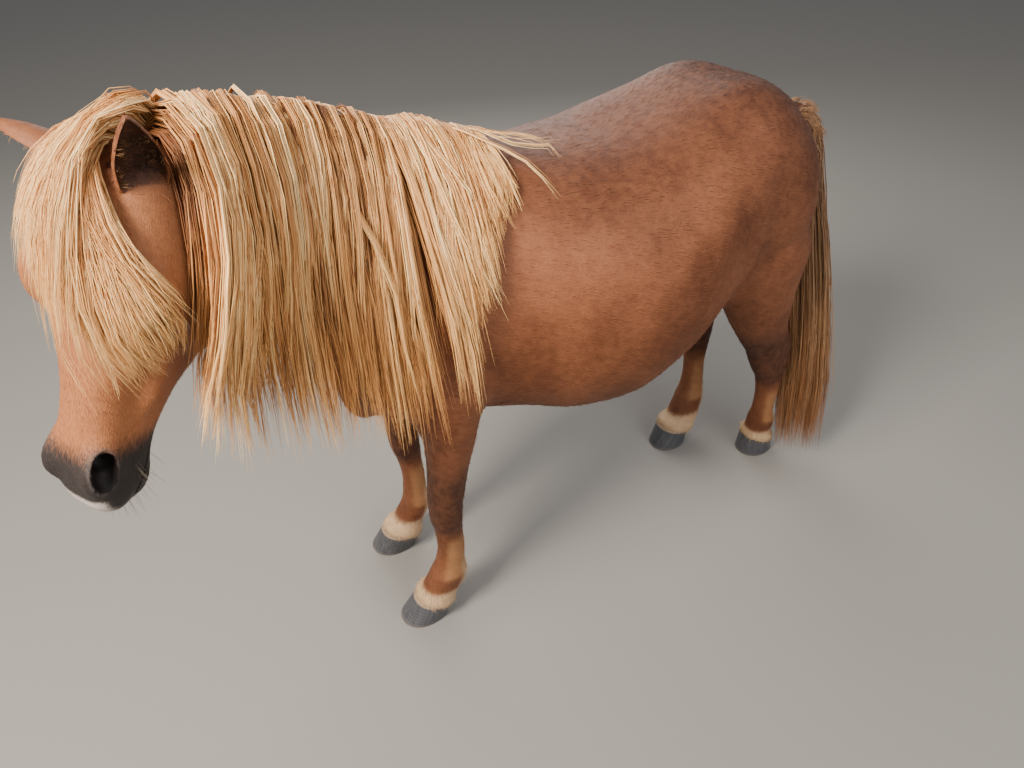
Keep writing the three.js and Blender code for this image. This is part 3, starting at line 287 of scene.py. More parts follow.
HEAD_LUMPS = [
    lump
    for s in (1, -1)
    for lump in (
        (Egg(82 * s, 134, -34, 20, 34, 22), 16),  # brow over the eye
        (Egg(72 * s, 140, -46, 23, 44, 36), 20),  # socket of the eye
        (Egg(64 * s, 118, -150, 30, 78, 62), 16),  # cheek
        (Egg(49 * s, 215, -88, 16, 62, 14), 16),  # ridge of the cheek bone
        (Egg(33 * s, 356, -48, 17, 34, 24), 16),  # wing of the nostril
        (Egg(44 * s, 12, -44, 24, 28, 28), 16),  # root of the ear
        (Egg(18 * s, 396, -78, 24, 26, 22), 16),  # upper lip
        (Egg(12 * s, 384, -116, 24, 30, 16), 16),  # lower lip and chin
    )
]
# each nostril is an egg-shaped hollow with a second one that leads inwards and up
NOSTRILS = {
    s: [Egg(44 * s, 354, -46, 12, 23, 13, -14), Egg(31 * s, 344, -50, 16, 13, 10, -14)] for s in (1, -1)
}


class Head:
    """Skull, lumps and nostrils as one form."""

    low, high = np.array([-60, -640, 560.0]) - REACH, np.array([340, -170, 1200.0]) + REACH

    @staticmethod
    def field(p):
        local = into_head(p)
        value = skull.field(local)
        for lump, blend in HEAD_LUMPS:
            value = smallest(value, lump.field(local), blend)
        for hollow in NOSTRILS[1] + NOSTRILS[-1]:
            value = -smallest(-value, hollow.field(local), 5)
        return value * HEAD_SCALE


LEG_COLUMNS = ["x", "front", "back", "side"]
LEG_ROWS = {
    "foreleg_left": [
        [22, 80, -58, 30, 42], [48, 84, -46, 37, 40], [72, 89, -36, 46, 36],
        [100, 94, -24, 62, 34], [128, 99, -13, 66, 33], [160, 102, 0, 62, 28],
        [205, 105, 7, 63, 25], [262, 108, 4, 60, 28], [298, 111, -3, 60, 35],
        [332, 113, -4, 61, 37], [380, 117, -3, 68, 38], [440, 123, -1, 75, 43],
        [500, 129, -4, 86, 50], [560, 131, -16, 98, 58], [680, 128, -20, 118, 62],
    ],
    "foreleg_right": [
        [22, -130, -40, 46, 42], [48, -122, -24, 55, 40], [72, -119, -10, 62, 36],
        [100, -117, 8, 76, 34], [128, -116, 22, 84, 33], [160, -115, 27, 80, 28],
        [205, -113, 29, 79, 25], [262, -113, 22, 76, 28], [298, -115, 13, 76, 35],
        [332, -117, 11, 77, 37], [380, -120, 10, 82, 38], [440, -125, 8, 88, 43],
        [500, -129, 3, 96, 50], [560, -131, -10, 106, 58], [680, -128, -16, 122, 62],
    ],
    "hindleg_left": [
        [22, 60, 895, 962, 38], [48, 62, 886, 958, 38], [72, 66, 881, 948, 34],
        [98, 72, 877, 946, 32], [125, 78, 873, 938, 32], [160, 85, 868, 922, 26],
        [210, 91, 860, 915, 25], [280, 98, 838, 910, 28], [320, 102, 812, 910, 33],
        [355, 104, 792, 908, 34], [385, 106, 776, 900, 34], [430, 111, 742, 872, 38],
        [480, 117, 706, 852, 45], [540, 122, 668, 845, 52], [600, 122, 640, 852, 58],
        [720, 116, 640, 872, 68],
    ],
    "hindleg_right": [
        [22, -76, 722, 796, 38], [48, -77, 730, 822, 39], [72, -79, 742, 838, 35],
        [98, -81, 757, 846, 33], [125, -84, 773, 850, 33], [160, -88, 788, 850, 27],
        [210, -94, 796, 850, 25], [280, -100, 794, 860, 29], [320, -103, 778, 868, 33],
        [355, -105, 760, 872, 34], [385, -107, 742, 872, 35], [430, -112, 714, 858, 38],
        [480, -118, 684, 846, 45], [540, -122, 655, 842, 52], [600, -122, 635, 852, 58],
        [720, -116, 640, 872, 68],
    ],
}


def leg_form(rows):
    """An upright form through the rows of a leg, from the coronet up."""
    columns = table(LEG_COLUMNS, rows)

    def size(z):
        half = (columns["back"](z) - columns["front"](z)) / 2
        power = 2.1 + 0 * z
        return {
            "across": columns["x"](z), "high": -columns["front"](z) - half,
            "side": columns["side"](z), "up": half, "down": half,
            "up_power": power, "down_power": power,
        }

    return Form(Z_AXIS, X_AXIS, -Y_AXIS, 22, rows[-1][0], 4, 90, size)


legs = {name: leg_form(rows) for name, rows in LEG_ROWS.items()}
BODY_LUMPS = [
    lump
    for s in (1, -1)
    for lump in (
        Egg(108 * s, 62, 725, 72, 112, 160, -18),  # shoulder blade
        Egg(114 * s, 62, 620, 56, 74, 62),  # upper arm
        Egg(96 * s, -50, 655, 60, 48, 70),  # point of the shoulder
        Egg(48 * s, -76, 610, 52, 34, 60),  # breast
        Egg(78 * s, 672, 852, 90, 120, 118, 14),  # top of the rump
        Egg(104 * s, 730, 750, 82, 112, 140, 20),  # haunch
        Egg(124 * s, 682, 632, 48, 56, 74, 25),  # stifle
        Egg(72 * s, 820, 700, 52, 72, 120),  # back of the thigh
    )
]


class Rod:
    """A rod that narrows from one end to the other."""

    def __init__(self, start, end, thick_start, thick_end):
        self.start, self.line = np.asarray(start, float), np.subtract(end, start).astype(float)
        self.thick_start, self.thick_end = thick_start, thick_end
        ends = np.stack([self.start, self.start + self.line])
        self.low, self.high = ends.min(0) - REACH, ends.max(0) + REACH

    def field(self, p):
        t = np.clip((p - self.start) @ self.line / (self.line @ self.line), 0, 1)
        thick = self.thick_start + (self.thick_end - self.thick_start) * t
        return np.linalg.norm(p - self.start - t[:, None] * self.line, axis=1) - thick


DOCK = np.array([(0, 864, 858), (2, 898, 852), (5, 926, 826), (9, 943, 784), (14, 950, 738)], float)
DOCK_RADII = (24, 24, 22, 18, 11)
dock_rods = [Rod(DOCK[i], DOCK[i + 1], DOCK_RADII[i], DOCK_RADII[i + 1]) for i in range(4)]


def flesh(p):
    """The whole body as one field, with soft hollows where one form runs into the next."""
    value = blend_in(np.full(len(p), FAR), trunk, p, 1)
    for lump in BODY_LUMPS:
        value = blend_in(value, lump, p, 26)
    value = blend_in(value, neck, p, 70)
    for leg in legs.values():
        value = blend_in(value, leg, p, 26)
    for part in dock_rods:
        value = blend_in(value, part, p, 10)
    ahead = p[:, 1] <= -130
    if ahead.any():
        value[ahead] = blend_in(value[ahead], Head, p[ahead], 40)
    return value


def outward(field, p, step=1.0):
    """Which way a field grows fastest, and how fast."""
    slope = np.stack(
        [field(p + step * axis) - field(p - step * axis) for axis in (X_AXIS, Y_AXIS, Z_AXIS)], axis=1
    ) / (2 * step)
    size = np.linalg.norm(slope, axis=1)
    flat = size < 1e-6
    slope[flat], size[flat] = Z_AXIS, 1
    return slope / size[:, None], size


def drawn_onto(field, p, rounds=4, most=8.0):
    """Points moved to where a field is zero."""
    for _ in range(rounds):
        way, size = outward(field, p)
        p = p - way * np.clip(field(p) / np.maximum(size, 0.3), -most, most)[:, None]
    return p


# Skin
# One hide over the whole animal, from the lips to the coronets. Its mesh is the surface where
# the flesh field is a coat's depth below zero, on a net of cells that is finest at the head.
COAT_DEPTH = 1.5
CELL = 7.9
NET_CENTRE = np.array([118, -365, 925])
NET_FINER = 0.64  # how much smaller the cells are at the middle of the head
NET_REACH = 420
NET_LOW, NET_HIGH = np.array([-640, -400, -1150.0]), np.array([400, 1580, 460.0])
COARSE = 4  # the field is first read on a net this much wider

# Each hoof: its middle, front, back and half width on the ground, then its middle, front and
# back at the coronet, which slopes down from front to back.
CORONET = {"front": 62, "back": 38, "half": 40}
HOOVES = {
    "forehoof_left": {"x": 75, "front": -78, "back": 22, "half": 42, "rim": (83, -41, 38)},
    "forehoof_right": {"x": -134, "front": -57, "back": 44, "half": 42, "rim": (-120, -29, 57)},
    "hindhoof_left": {"x": 57, "front": 880, "back": 972, "half": 40, "rim": (60, 884, 962)},
    "hindhoof_right": {"x": -76, "front": 702, "back": 794, "half": 40, "rim": (-78, 724, 806)},
}


def above_coronet(p):
    """How far a point is above the coronet of the hoof that it is nearest to."""
    high = np.full(len(p), FAR)
    for shape in HOOVES.values():
        rim_x, rim_front, rim_back = shape["rim"]
        near = (np.abs(p[:, 0] - rim_x) < 80) & (np.abs(p[:, 1] - (rim_front + rim_back) / 2) < 110)
        rim = np.interp(p[near, 1], [rim_front, rim_back], [CORONET["front"], CORONET["back"]])
        high[near] = p[near, 2] - rim
    return high


CUFFS = [
    Egg(rim[0], (rim[1] + rim[2]) / 2, 57, 42.5, (rim[2] - rim[1]) / 2 + 3, 22, -16)
    for rim in (shape["rim"] for shape in HOOVES.values())
]


def hide(p):
    """The surface of the skin under its coat, drawn in where it goes down into the horn."""
    value = flesh(p)
    for cuff in CUFFS:
        value = blend_in(value, cuff, p, 12)
    return value + COAT_DEPTH + 0.8 * np.maximum(-above_coronet(p) - 2, 0)


def net_to_space(g):
    """Where a corner of the net lies: the cells shrink towards the head."""
    r = np.maximum(np.linalg.norm(g, axis=-1, keepdims=True), 1e-6)
    return NET_CENTRE + g * (1 - NET_FINER * NET_REACH * np.tanh(r / NET_REACH) / r)


def in_fine_cells(coarse):
    """The value of each coarse cell for every fine cell in it."""
    for axis in range(3):
        coarse = np.repeat(coarse, COARSE, axis)
    return coarse


def skin_net(field):
    """Corners and quads of the surface where the field is zero."""
    counts = np.ceil((NET_HIGH - NET_LOW) / CELL / COARSE).astype(int) * COARSE
    coarse = [NET_LOW[a] + CELL * COARSE * np.arange(counts[a] // COARSE + 1) for a in range(3)]
    nodes = np.stack(np.meshgrid(*coarse, indexing="ij"), axis=-1)
    rough = field(net_to_space(nodes.reshape(-1, 3))).reshape(nodes.shape[:3])
    near = np.zeros(np.array(rough.shape) - 1, bool)
    inside = np.zeros_like(near)
    for i, j, k in np.ndindex(2, 2, 2):
        part = rough[i : i + near.shape[0], j : j + near.shape[1], k : k + near.shape[2]]
        near |= np.abs(part) < 1.9 * CELL * COARSE
        inside |= part < 0
    shape = tuple(counts + 1)
    values = np.full(shape, FAR, np.float32)
    values[:-1, :-1, :-1][in_fine_cells(inside & ~near)] = -FAR
    wanted = np.zeros(shape, bool)
    near = in_fine_cells(near)
    for i, j, k in np.ndindex(2, 2, 2):
        wanted[i : i + near.shape[0], j : j + near.shape[1], k : k + near.shape[2]] |= near
    where = np.argwhere(wanted)
    values[wanted] = field(net_to_space(NET_LOW + CELL * where))
    below = values < 0

    crossing, owners, quads = [], [], []
    strides = np.array([shape[1] * shape[2], shape[2], 1])
    for axis in range(3):
        first = [slice(None)] * 3
        second = [slice(None)] * 3
        first[axis], second[axis] = slice(0, -1), slice(1, None)
        a, b = below[tuple(first)], below[tuple(second)]
        at = np.argwhere(a != b)
        flip = a[tuple(at.T)]
        v0 = values[tuple(first)][tuple(at.T)]
        v1 = values[tuple(second)][tuple(at.T)]
        t = v0 / (v0 - v1)
        point = at.astype(float)
        point[:, axis] += t
        j, k = (axis + 1) % 3, (axis + 2) % 3
        around = []
        for dj, dk in ((1, 1), (0, 1), (0, 0), (1, 0)):
            cell = at.copy()
            cell[:, j] -= dj
            cell[:, k] -= dk
            around.append(cell @ strides)
            crossing.append(point)
            owners.append(around[-1])
        quad = np.stack(around, axis=1)
        quad[~flip] = quad[~flip][:, ::-1]
        quads.append(quad)
    owners = np.concatenate(owners)
    cells, index = np.unique(owners, return_inverse=True)
    total = np.zeros((len(cells), 3))
    np.add.at(total, index, np.concatenate(crossing))
    corners = total / np.bincount(index)[:, None]
    quads = np.searchsorted(cells, np.concatenate(quads))
    return drawn_onto(field, net_to_space(NET_LOW + CELL * corners)), quads


def placed(name, data):
    """A new object in the scene, at the origin."""
    made = bpy.data.objects.new(name, data)
    bpy.context.scene.collection.objects.link(made)
    return made


def mesh_object(name, points, faces):
    """A mesh object at the origin, from points in the animal's frame."""
    mesh = bpy.data.meshes.new(name)
    mesh.from_pydata(to_row(points).tolist(), [], [list(map(int, face)) for face in faces])
    mesh.validate()
    return placed(name, mesh)


skin = mesh_object("skin", *skin_net(hide))


def lofted(rings, looped=False):
    """Corners and faces of a closed body through rings; a ring of one corner is a tip."""
    rings = [np.atleast_2d(ring) for ring in rings]
    starts = np.cumsum([0] + [len(ring) for ring in rings])
    around = max(len(ring) for ring in rings)
    pairs = [(i, i + 1) for i in range(len(rings) - 1)] + ([(len(rings) - 1, 0)] if looped else [])
    faces = []
    for a, b in pairs:
        for j in range(around):
            k = (j + 1) % around
            face = []
            for ring, corner in ((a, j), (a, k), (b, k), (b, j)):
                index = int(starts[ring] + (corner if len(rings[ring]) > 1 else 0))
                if index not in face:
                    face.append(index)
            faces.append(face)
    if not looped:
        for ring, way in ((0, -1), (len(rings) - 1, 1)):
            if len(rings[ring]) > 1:
                faces.append([int(starts[ring] + j) for j in range(around)][::way])
    points = np.concatenate(rings)
    volume = sum(
        points[face[0]] @ np.cross(points[face[i]], points[face[i + 1]])
        for face in faces
        for i in range(1, len(face) - 1)
    )
    return points, faces if volume > 0 else [face[::-1] for face in faces]


def as_changed(thing):
    """The mesh of an object with its modifiers in it."""
    return bpy.data.meshes.new_from_object(thing.evaluated_get(bpy.context.evaluated_depsgraph_get()))


def worked(body, tools, operation):
    """Joins or cuts a body with tool objects, which are used up."""
    for tool in tools:
        before = len(body.data.polygons)
        for solver in ("MANIFOLD", "EXACT"):
            modifier = body.modifiers.new("work", "BOOLEAN")
            modifier.operation, modifier.solver, modifier.object = operation, solver, tool
            mesh = as_changed(body)
            body.modifiers.remove(modifier)
            # a solver that fails leaves the body as it was, or loses most of it
            if len(mesh.polygons) > before / 2 and len(mesh.polygons) != before:
                break
        body.data = mesh
        bpy.data.objects.remove(tool)


# Ears
# Thin cups of gristle and skin, hollow in front, that grow out of the poll with the hide. They
# are lofted through rings from a sunk root to the tip and joined to the skin.
EAR = {"length": 108, "width": 27, "depth": 17, "wall": 2.6}
EAR_POSES = {
    "ear_left": {"root": from_head((50, 20, -38)), "tip": (0.4, 0, 0.92), "faces": (0.9, 0.12, -0.4)},
    "ear_right": {
        "root": from_head((-48, 14, -40)), "tip": (-0.69, -0.61, 0.4), "faces": (0.2, -0.55, -0.75),
    },
}
ear_rows = table(
    ["width", "depth", "cup", "lean"],
    [
        [-0.14, 0.62, 0.9, 0, 0],
        [0, 0.72, 0.95, 0, 0],
        [0.1, 0.86, 1, 0.35, 0],
        [0.25, 1, 1, 0.7, 0.01],
        [0.45, 0.98, 0.92, 0.76, 0.03],
        [0.65, 0.78, 0.75, 0.72, 0.07],
        [0.82, 0.5, 0.52, 0.6, 0.12],
        [0.94, 0.24, 0.34, 0.3, 0.17],
        [1, 0.06, 0.2, 0, 0.2],
    ],
)


def unit(v):
    v = np.asarray(v, float)
    return v / np.maximum(np.linalg.norm(v, axis=-1, keepdims=True), 1e-9)


def ear_frame(pose):
    """Which way an ear points, which way it opens, and across it."""
    up = unit(pose["tip"])
    opens = np.asarray(pose["faces"], float)
    opens = unit(opens - opens @ up * up)
    return up, opens, np.cross(up, opens)


def ear_rings(pose, stations=34, outside=22, inside=14):
    """The rings of one ear, each down its back, over its rims and through its cup."""
    up, opens, across = ear_frame(pose)
    rings = []
    for u in np.concatenate([[-0.14], np.linspace(0, 0.985, stations) ** 0.9]):
        half = EAR["width"] * ear_rows["width"](u)
        back = EAR["depth"] * ear_rows["depth"](u)
        rim = 0.45 * back
        deep = min(back * ear_rows["cup"](u) * 1.5, back + rim - 3.2)
        inner = half * max(0.55, 1 - EAR["wall"] / half)
        turn = np.pi * np.linspace(0, 1, outside)
        wave = 1 + 0.03 * np.sin(9 * u + 2 * turn)
        out_turn = np.pi * (1 - np.linspace(0, 1, inside + 2)[1:-1])
        lip = (half + inner) / 2
        sideways = np.concatenate([np.cos(turn) * half * wave, [-lip], np.cos(out_turn) * inner, [lip]])
        forwards = np.concatenate(
            [rim - np.sin(turn) * (back + rim), [rim + 2.2], rim + 1.6 - np.sin(out_turn) * deep, [rim + 2.2]]
        )
        lean = ear_rows["lean"](u) * EAR["length"] * 0.3
        middle = np.asarray(pose["root"]) + up * u * EAR["length"]
        rings.append(middle + np.outer(sideways, across) + np.outer(forwards + lean, opens))
    tip = np.asarray(pose["root"]) + up * EAR["length"] + opens * (0.08 * EAR["depth"] + 0.06 * EAR["length"])
    return rings + [tip]


worked(skin, [mesh_object(name, *lofted(ear_rings(pose))) for name, pose in EAR_POSES.items()], "UNION")

# Eyes
# Dark balls with a level oval pupil, wet and clear in front, seated in almond openings of the
# skin, under lids with a soft rim that are joined to it.
EYE = {"side": 79, "along": 138, "brow": -40, "radius": 22}
LID_STEPS = 56


def eye_frame(s):
    """The middle of an eye in the head's frame, the way it looks, its front corner, and up."""
    look = unit((0.9 * s, 0.12, 0.36))
    corner = np.array([0.05 * s, 0.86, -0.5])
    corner = unit(corner - corner @ look * look)
    lid_up = unit(np.cross(corner, look))
    middle = np.array([EYE["side"] * s, EYE["along"], EYE["brow"]], float)
    return middle, look, corner, lid_up * np.sign(lid_up[2])


def lid_edge(s, grow, radius):
    """A ring round the almond between the lids, a share wider, at a radius from the eye's middle."""
    middle, look, corner, lid_up = eye_frame(s)
    turn = 2 * np.pi * np.arange(LID_STEPS) / LID_STEPS
    c, d = np.cos(turn), np.sin(turn)
    high = np.where(d > 0, 0.5, 0.36) * np.sign(d) * np.abs(d) ** 1.25 + 0.03
    ways = look + np.outer(np.tan((0.8 + grow) * c), corner) + np.outer(np.tan(high + grow * d), lid_up)
    return from_head(middle + unit(ways) * radius)


eye_size = EYE["radius"] / HEAD_SCALE
eye_places = [from_head((EYE["side"] * s, EYE["along"], EYE["brow"])) for s in (1, -1)]
OPENING = ((-0.02, -7), (0, 1), (0.06, 16))  # how much wider, and how far out from the ball
LIDS = (
    (0.005, 0.15), (0.0, 1.2), (0.03, 2.4), (0.09, 3.1), (0.16, 2.7),
    (0.23, 3.5), (0.32, 2.8), (0.42, 0.8), (0.5, -5), (0.14, -3),
)
openings, lid_rings = [], []
for s in (1, -1):
    cut = [lid_edge(s, grow, eye_size + off) for grow, off in OPENING]
    openings.append(mesh_object("opening", *lofted(cut)))
    sections = np.stack([lid_edge(s, grow, eye_size + off) for grow, off in LIDS], axis=1)
    lid_rings.append(mesh_object("lids", *lofted(list(sections), looped=True)))
worked(skin, openings, "DIFFERENCE")
worked(skin, lid_rings, "UNION")


def node(tree, kind, inputs=None, **settings):
    """One node, its settings, and its inputs by name or number: values or other sockets."""
    made = tree.nodes.new(kind)
    for key, value in settings.items():
        setattr(made, key, value)
    for key, value in (inputs or {}).items():
        if isinstance(value, bpy.types.NodeSocket):
            tree.links.new(value, made.inputs[key])
        else:
            made.inputs[key].default_value = value
    return made


def mixed(tree, share, a, b, blend="MIX"):
    """One colour over another by a share."""
    mix = node(tree, "ShaderNodeMix", data_type="RGBA", blend_type=blend)
    for index, value in ((0, share), (6, a), (7, b)):
        if isinstance(value, bpy.types.NodeSocket):
            tree.links.new(value, mix.inputs[index])
        else:
            mix.inputs[index].default_value = value if index == 0 else (*value, 1)
    return mix.outputs[2]


def span(tree, value, low, high, to_low=0.0, to_high=1.0):
    """A value's place between two others, smoothed."""
    return node(
        tree, "ShaderNodeMapRange", {0: value, 1: low, 2: high, 3: to_low, 4: to_high},
        interpolation_type="SMOOTHSTEP",
    ).outputs[0]


def new_finish(name, roughness, **constants):
    finish = bpy.data.materials.new(name)
    finish.use_nodes = True
    surface = finish.node_tree.nodes["Principled BSDF"]
    surface.inputs["Roughness"].default_value = roughness
    for key, value in constants.items():
        surface.inputs[key.replace("_", " ")].default_value = value
    return finish, finish.node_tree, surface


def mask(tree, key):
    """A stored share, read back in a finish."""
    return node(tree, "ShaderNodeAttribute", attribute_name=key).outputs["Fac"]


def store(mesh, key, values, kind="FLOAT", field="value"):
    attribute = mesh.attributes.new(key, kind, "POINT")
    attribute.data.foreach_set(field, np.ascontiguousarray(values, np.float32).ravel())


eye_finish, tree, surface = new_finish("eye_finish", 0.08, Coat_Weight=1.0)
iris = mixed(tree, mask(tree, "pupil"), (0.045, 0.018, 0.008), (0.004, 0.004, 0.006))
tree.links.new(mixed(tree, mask(tree, "white"), iris, (0.16, 0.1, 0.075)), surface.inputs["Base Color"])
EYE_ROUND, EYE_HIGH = 64, 40
for s, side_name in ((1, "left"), (-1, "right")):
    middle, look, corner, lid_up = eye_frame(s)
    rings = []
    for turn in np.pi * np.arange(1, EYE_HIGH) / EYE_HIGH:
        around = 2 * np.pi * np.arange(EYE_ROUND) / EYE_ROUND
        bulge = 1 + 0.05 * ramp(0.75, 0.2, turn)
        ways = np.outer(np.cos(around), corner) + np.outer(np.sin(around), lid_up)
        rings.append(from_head(middle + eye_size * bulge * (np.cos(turn) * look + np.sin(turn) * ways)))
    rings = [from_head(middle + eye_size * 1.05 * look)] + rings + [from_head(middle - eye_size * look)]
    eye_points, eye_faces = lofted(rings)
    eye = mesh_object("eye_" + side_name + "_ball", eye_points, eye_faces)
    eye.data.shade_smooth()
    ways = into_head(eye_points) - middle
    sideways, high, ahead = ways @ corner / eye_size, ways @ lid_up / eye_size, ways @ look / eye_size
    ovals = np.hypot(sideways / 0.42, high / 0.2)
    store(eye.data, "pupil", ramp(1.08, 0.94, ovals) * (ahead > 0))
    store(eye.data, "white", ramp(0.74, 0.86, np.hypot(sideways, high)) + (ahead < 0))
    eye.data.materials.append(eye_finish)
    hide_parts("eye_" + side_name)
    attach(eye, "root")

# Mouth
# A closed slit between the lips, from one corner round the front to the other. It is cut into
# the skin, shallow at the corners and deeper towards the front.
MOUTH_START = np.array([0, 326, -120.0])
MOUTH_AHEAD, MOUTH_UP = np.array([0, 0.972, 0.235]), np.array([0, -0.235, 0.972])
LIPS = {"straight": 76, "depth": 9, "gap": 1.5}
MOUTH_STEPS, SIDE_STEPS = 25, 21
at_side = np.linspace(0, LIPS["straight"], SIDE_STEPS + 1)[:-1]
quarter = np.full(SIDE_STEPS, np.pi / 2)
starts = np.concatenate([at_side, np.full(MOUTH_STEPS, LIPS["straight"]), at_side[::-1]])
turns = np.concatenate([-quarter, np.linspace(-np.pi / 2, np.pi / 2, MOUTH_STEPS), quarter])
inner = MOUTH_START + np.outer(starts, MOUTH_AHEAD)
way = np.outer(np.sin(turns), X_AXIS) + np.outer(np.cos(turns), MOUTH_AHEAD)
near, far = np.zeros(len(inner)), np.full(len(inner), 90.0)
for _ in range(16):
    half = (near + far) / 2
    outside = hide(from_head(inner + way * half[:, None])) > 0
    near, far = np.where(outside, near, half), np.where(outside, half, far)
open_share = ramp(-2, 16, starts)
sections = []
for i in range(len(inner)):
    lip = inner[i] + way[i] * far[i]
    depth, gap = LIPS["depth"] * open_share[i] + 0.6, LIPS["gap"] * (0.4 + 0.6 * open_share[i])
    outer_lip, deep = lip + way[i] * 4, lip - way[i] * depth
    half_section = [outer_lip + MOUTH_UP * gap * 1.9, lip + MOUTH_UP * gap, deep + MOUTH_UP * 0.25]
    other_half = [deep - MOUTH_UP * 0.25, lip - MOUTH_UP * gap, outer_lip - MOUTH_UP * gap * 1.9]
    sections.append(from_head(np.stack(half_section + other_half)))
worked(skin, [mesh_object("mouth", *lofted(sections))], "DIFFERENCE")

# Coat colours
# Chestnut above, browner on the back and the legs, cream at the pasterns and the lip, slate
# grey at the muzzle. Some of it is painted light: the browning under the ears is painted shade,
# the back, the rump, the knees and the belly are darkened in part by painted shade, the inside
# of each nostril is deepened with it, and the face's lighter chestnut is painted sunlight. Masks
# on the hide say where, and the short hair takes them from the hide.
def read(items, field, wide=1, kind=np.float32):
    """One field of all the items of a mesh, as an array with a row for each."""
    values = np.empty(len(items) * wide, kind)
    items.foreach_get(field, values)
    return values if wide == 1 else values.reshape(-1, wide).astype(float)


def corners_of(made):
    """The corners of a mesh object, in the animal's frame."""
    return (read(made.data.vertices, "co", 3) - ROW_SHIFT) / MM


skin_at, skin_out = corners_of(skin), read(skin.data.vertices, "normal", 3)
EAR_REACH = 36  # how far from an ear's line its skin lies at most


def along_ear(p, pose):
    """How far up an ear a point is, as a share of its length, and the way to it from its line."""
    up = ear_frame(pose)[0]
    at = (p - pose["root"]) @ up / EAR["length"]
    return at, p - pose["root"] - np.outer(at * EAR["length"], up)


def leg_weight(p):
    """How much a point belongs to a leg."""
    return ramp(500, 400, p[:, 2])


def head_weight(p):
    """How much a point belongs to the head."""
    return ramp(-160, -230, p[:, 1]) * ramp(-30, 40, into_head(p)[:, 1])


def lie_of(p, out):
    """The way the coat lies: down the legs, down the face, back and down elsewhere."""
    leg, face = leg_weight(p)[:, None], head_weight(p)[:, None]
    ahead = ramp(100, -80, p[:, 1])[:, None]
    way = np.array([0, 0.88, -0.42]) * (1 - ahead) + np.array([0.1, 0.45, -0.85]) * ahead
    way = way * (1 - leg) + np.array([0, 0.12, -1.0]) * leg
    way = way * (1 - face) + (0.4 * HEAD_AXES[1] + np.array([0, 0.3, -0.3]) - 0.3 * HEAD_AXES[2]) * face
    for pose in EAR_POSES.values():
        at, off = along_ear(p, pose)
        on_ear = (ramp(0.08, 0.25, at) * (np.linalg.norm(off, axis=1) < EAR_REACH) * (at < 1.3))[:, None]
        way = way * (1 - on_ear) + ear_frame(pose)[0] * on_ear
    return unit(way - out * np.sum(way * out, axis=1, keepdims=True))


def on_ears(p):
    """How much a point belongs to an ear."""
    weight = np.zeros(len(p))
    for pose in EAR_POSES.values():
        at, off = along_ear(p, pose)
        near = (np.linalg.norm(off, axis=1) < EAR_REACH) & (at < 1.3)
        weight = np.maximum(weight, ramp(0.1, 0.22, at) * near)
    return weight


def in_cups(p, out):
    """How deep a point lies in the hollow of an ear."""
    weight = np.zeros(len(p))
    for pose in EAR_POSES.values():
        opens, across = ear_frame(pose)[1:]
        at, off = along_ear(p, pose)
        forwards = off @ opens - ear_rows["lean"](at) * EAR["length"] * 0.3
        rim = 0.45 * EAR["depth"] * ear_rows["depth"](at)
        inside = np.abs(off @ across) < EAR["width"] * ear_rows["width"](at) - 1.5
        inside &= (forwards < rim + 2.5) & (out @ opens > 0.05) & (np.linalg.norm(off, axis=1) < 40)
        weight = np.maximum(weight, ramp(-0.06, 0.3, at) * inside * (at < 0.98))
    return weight


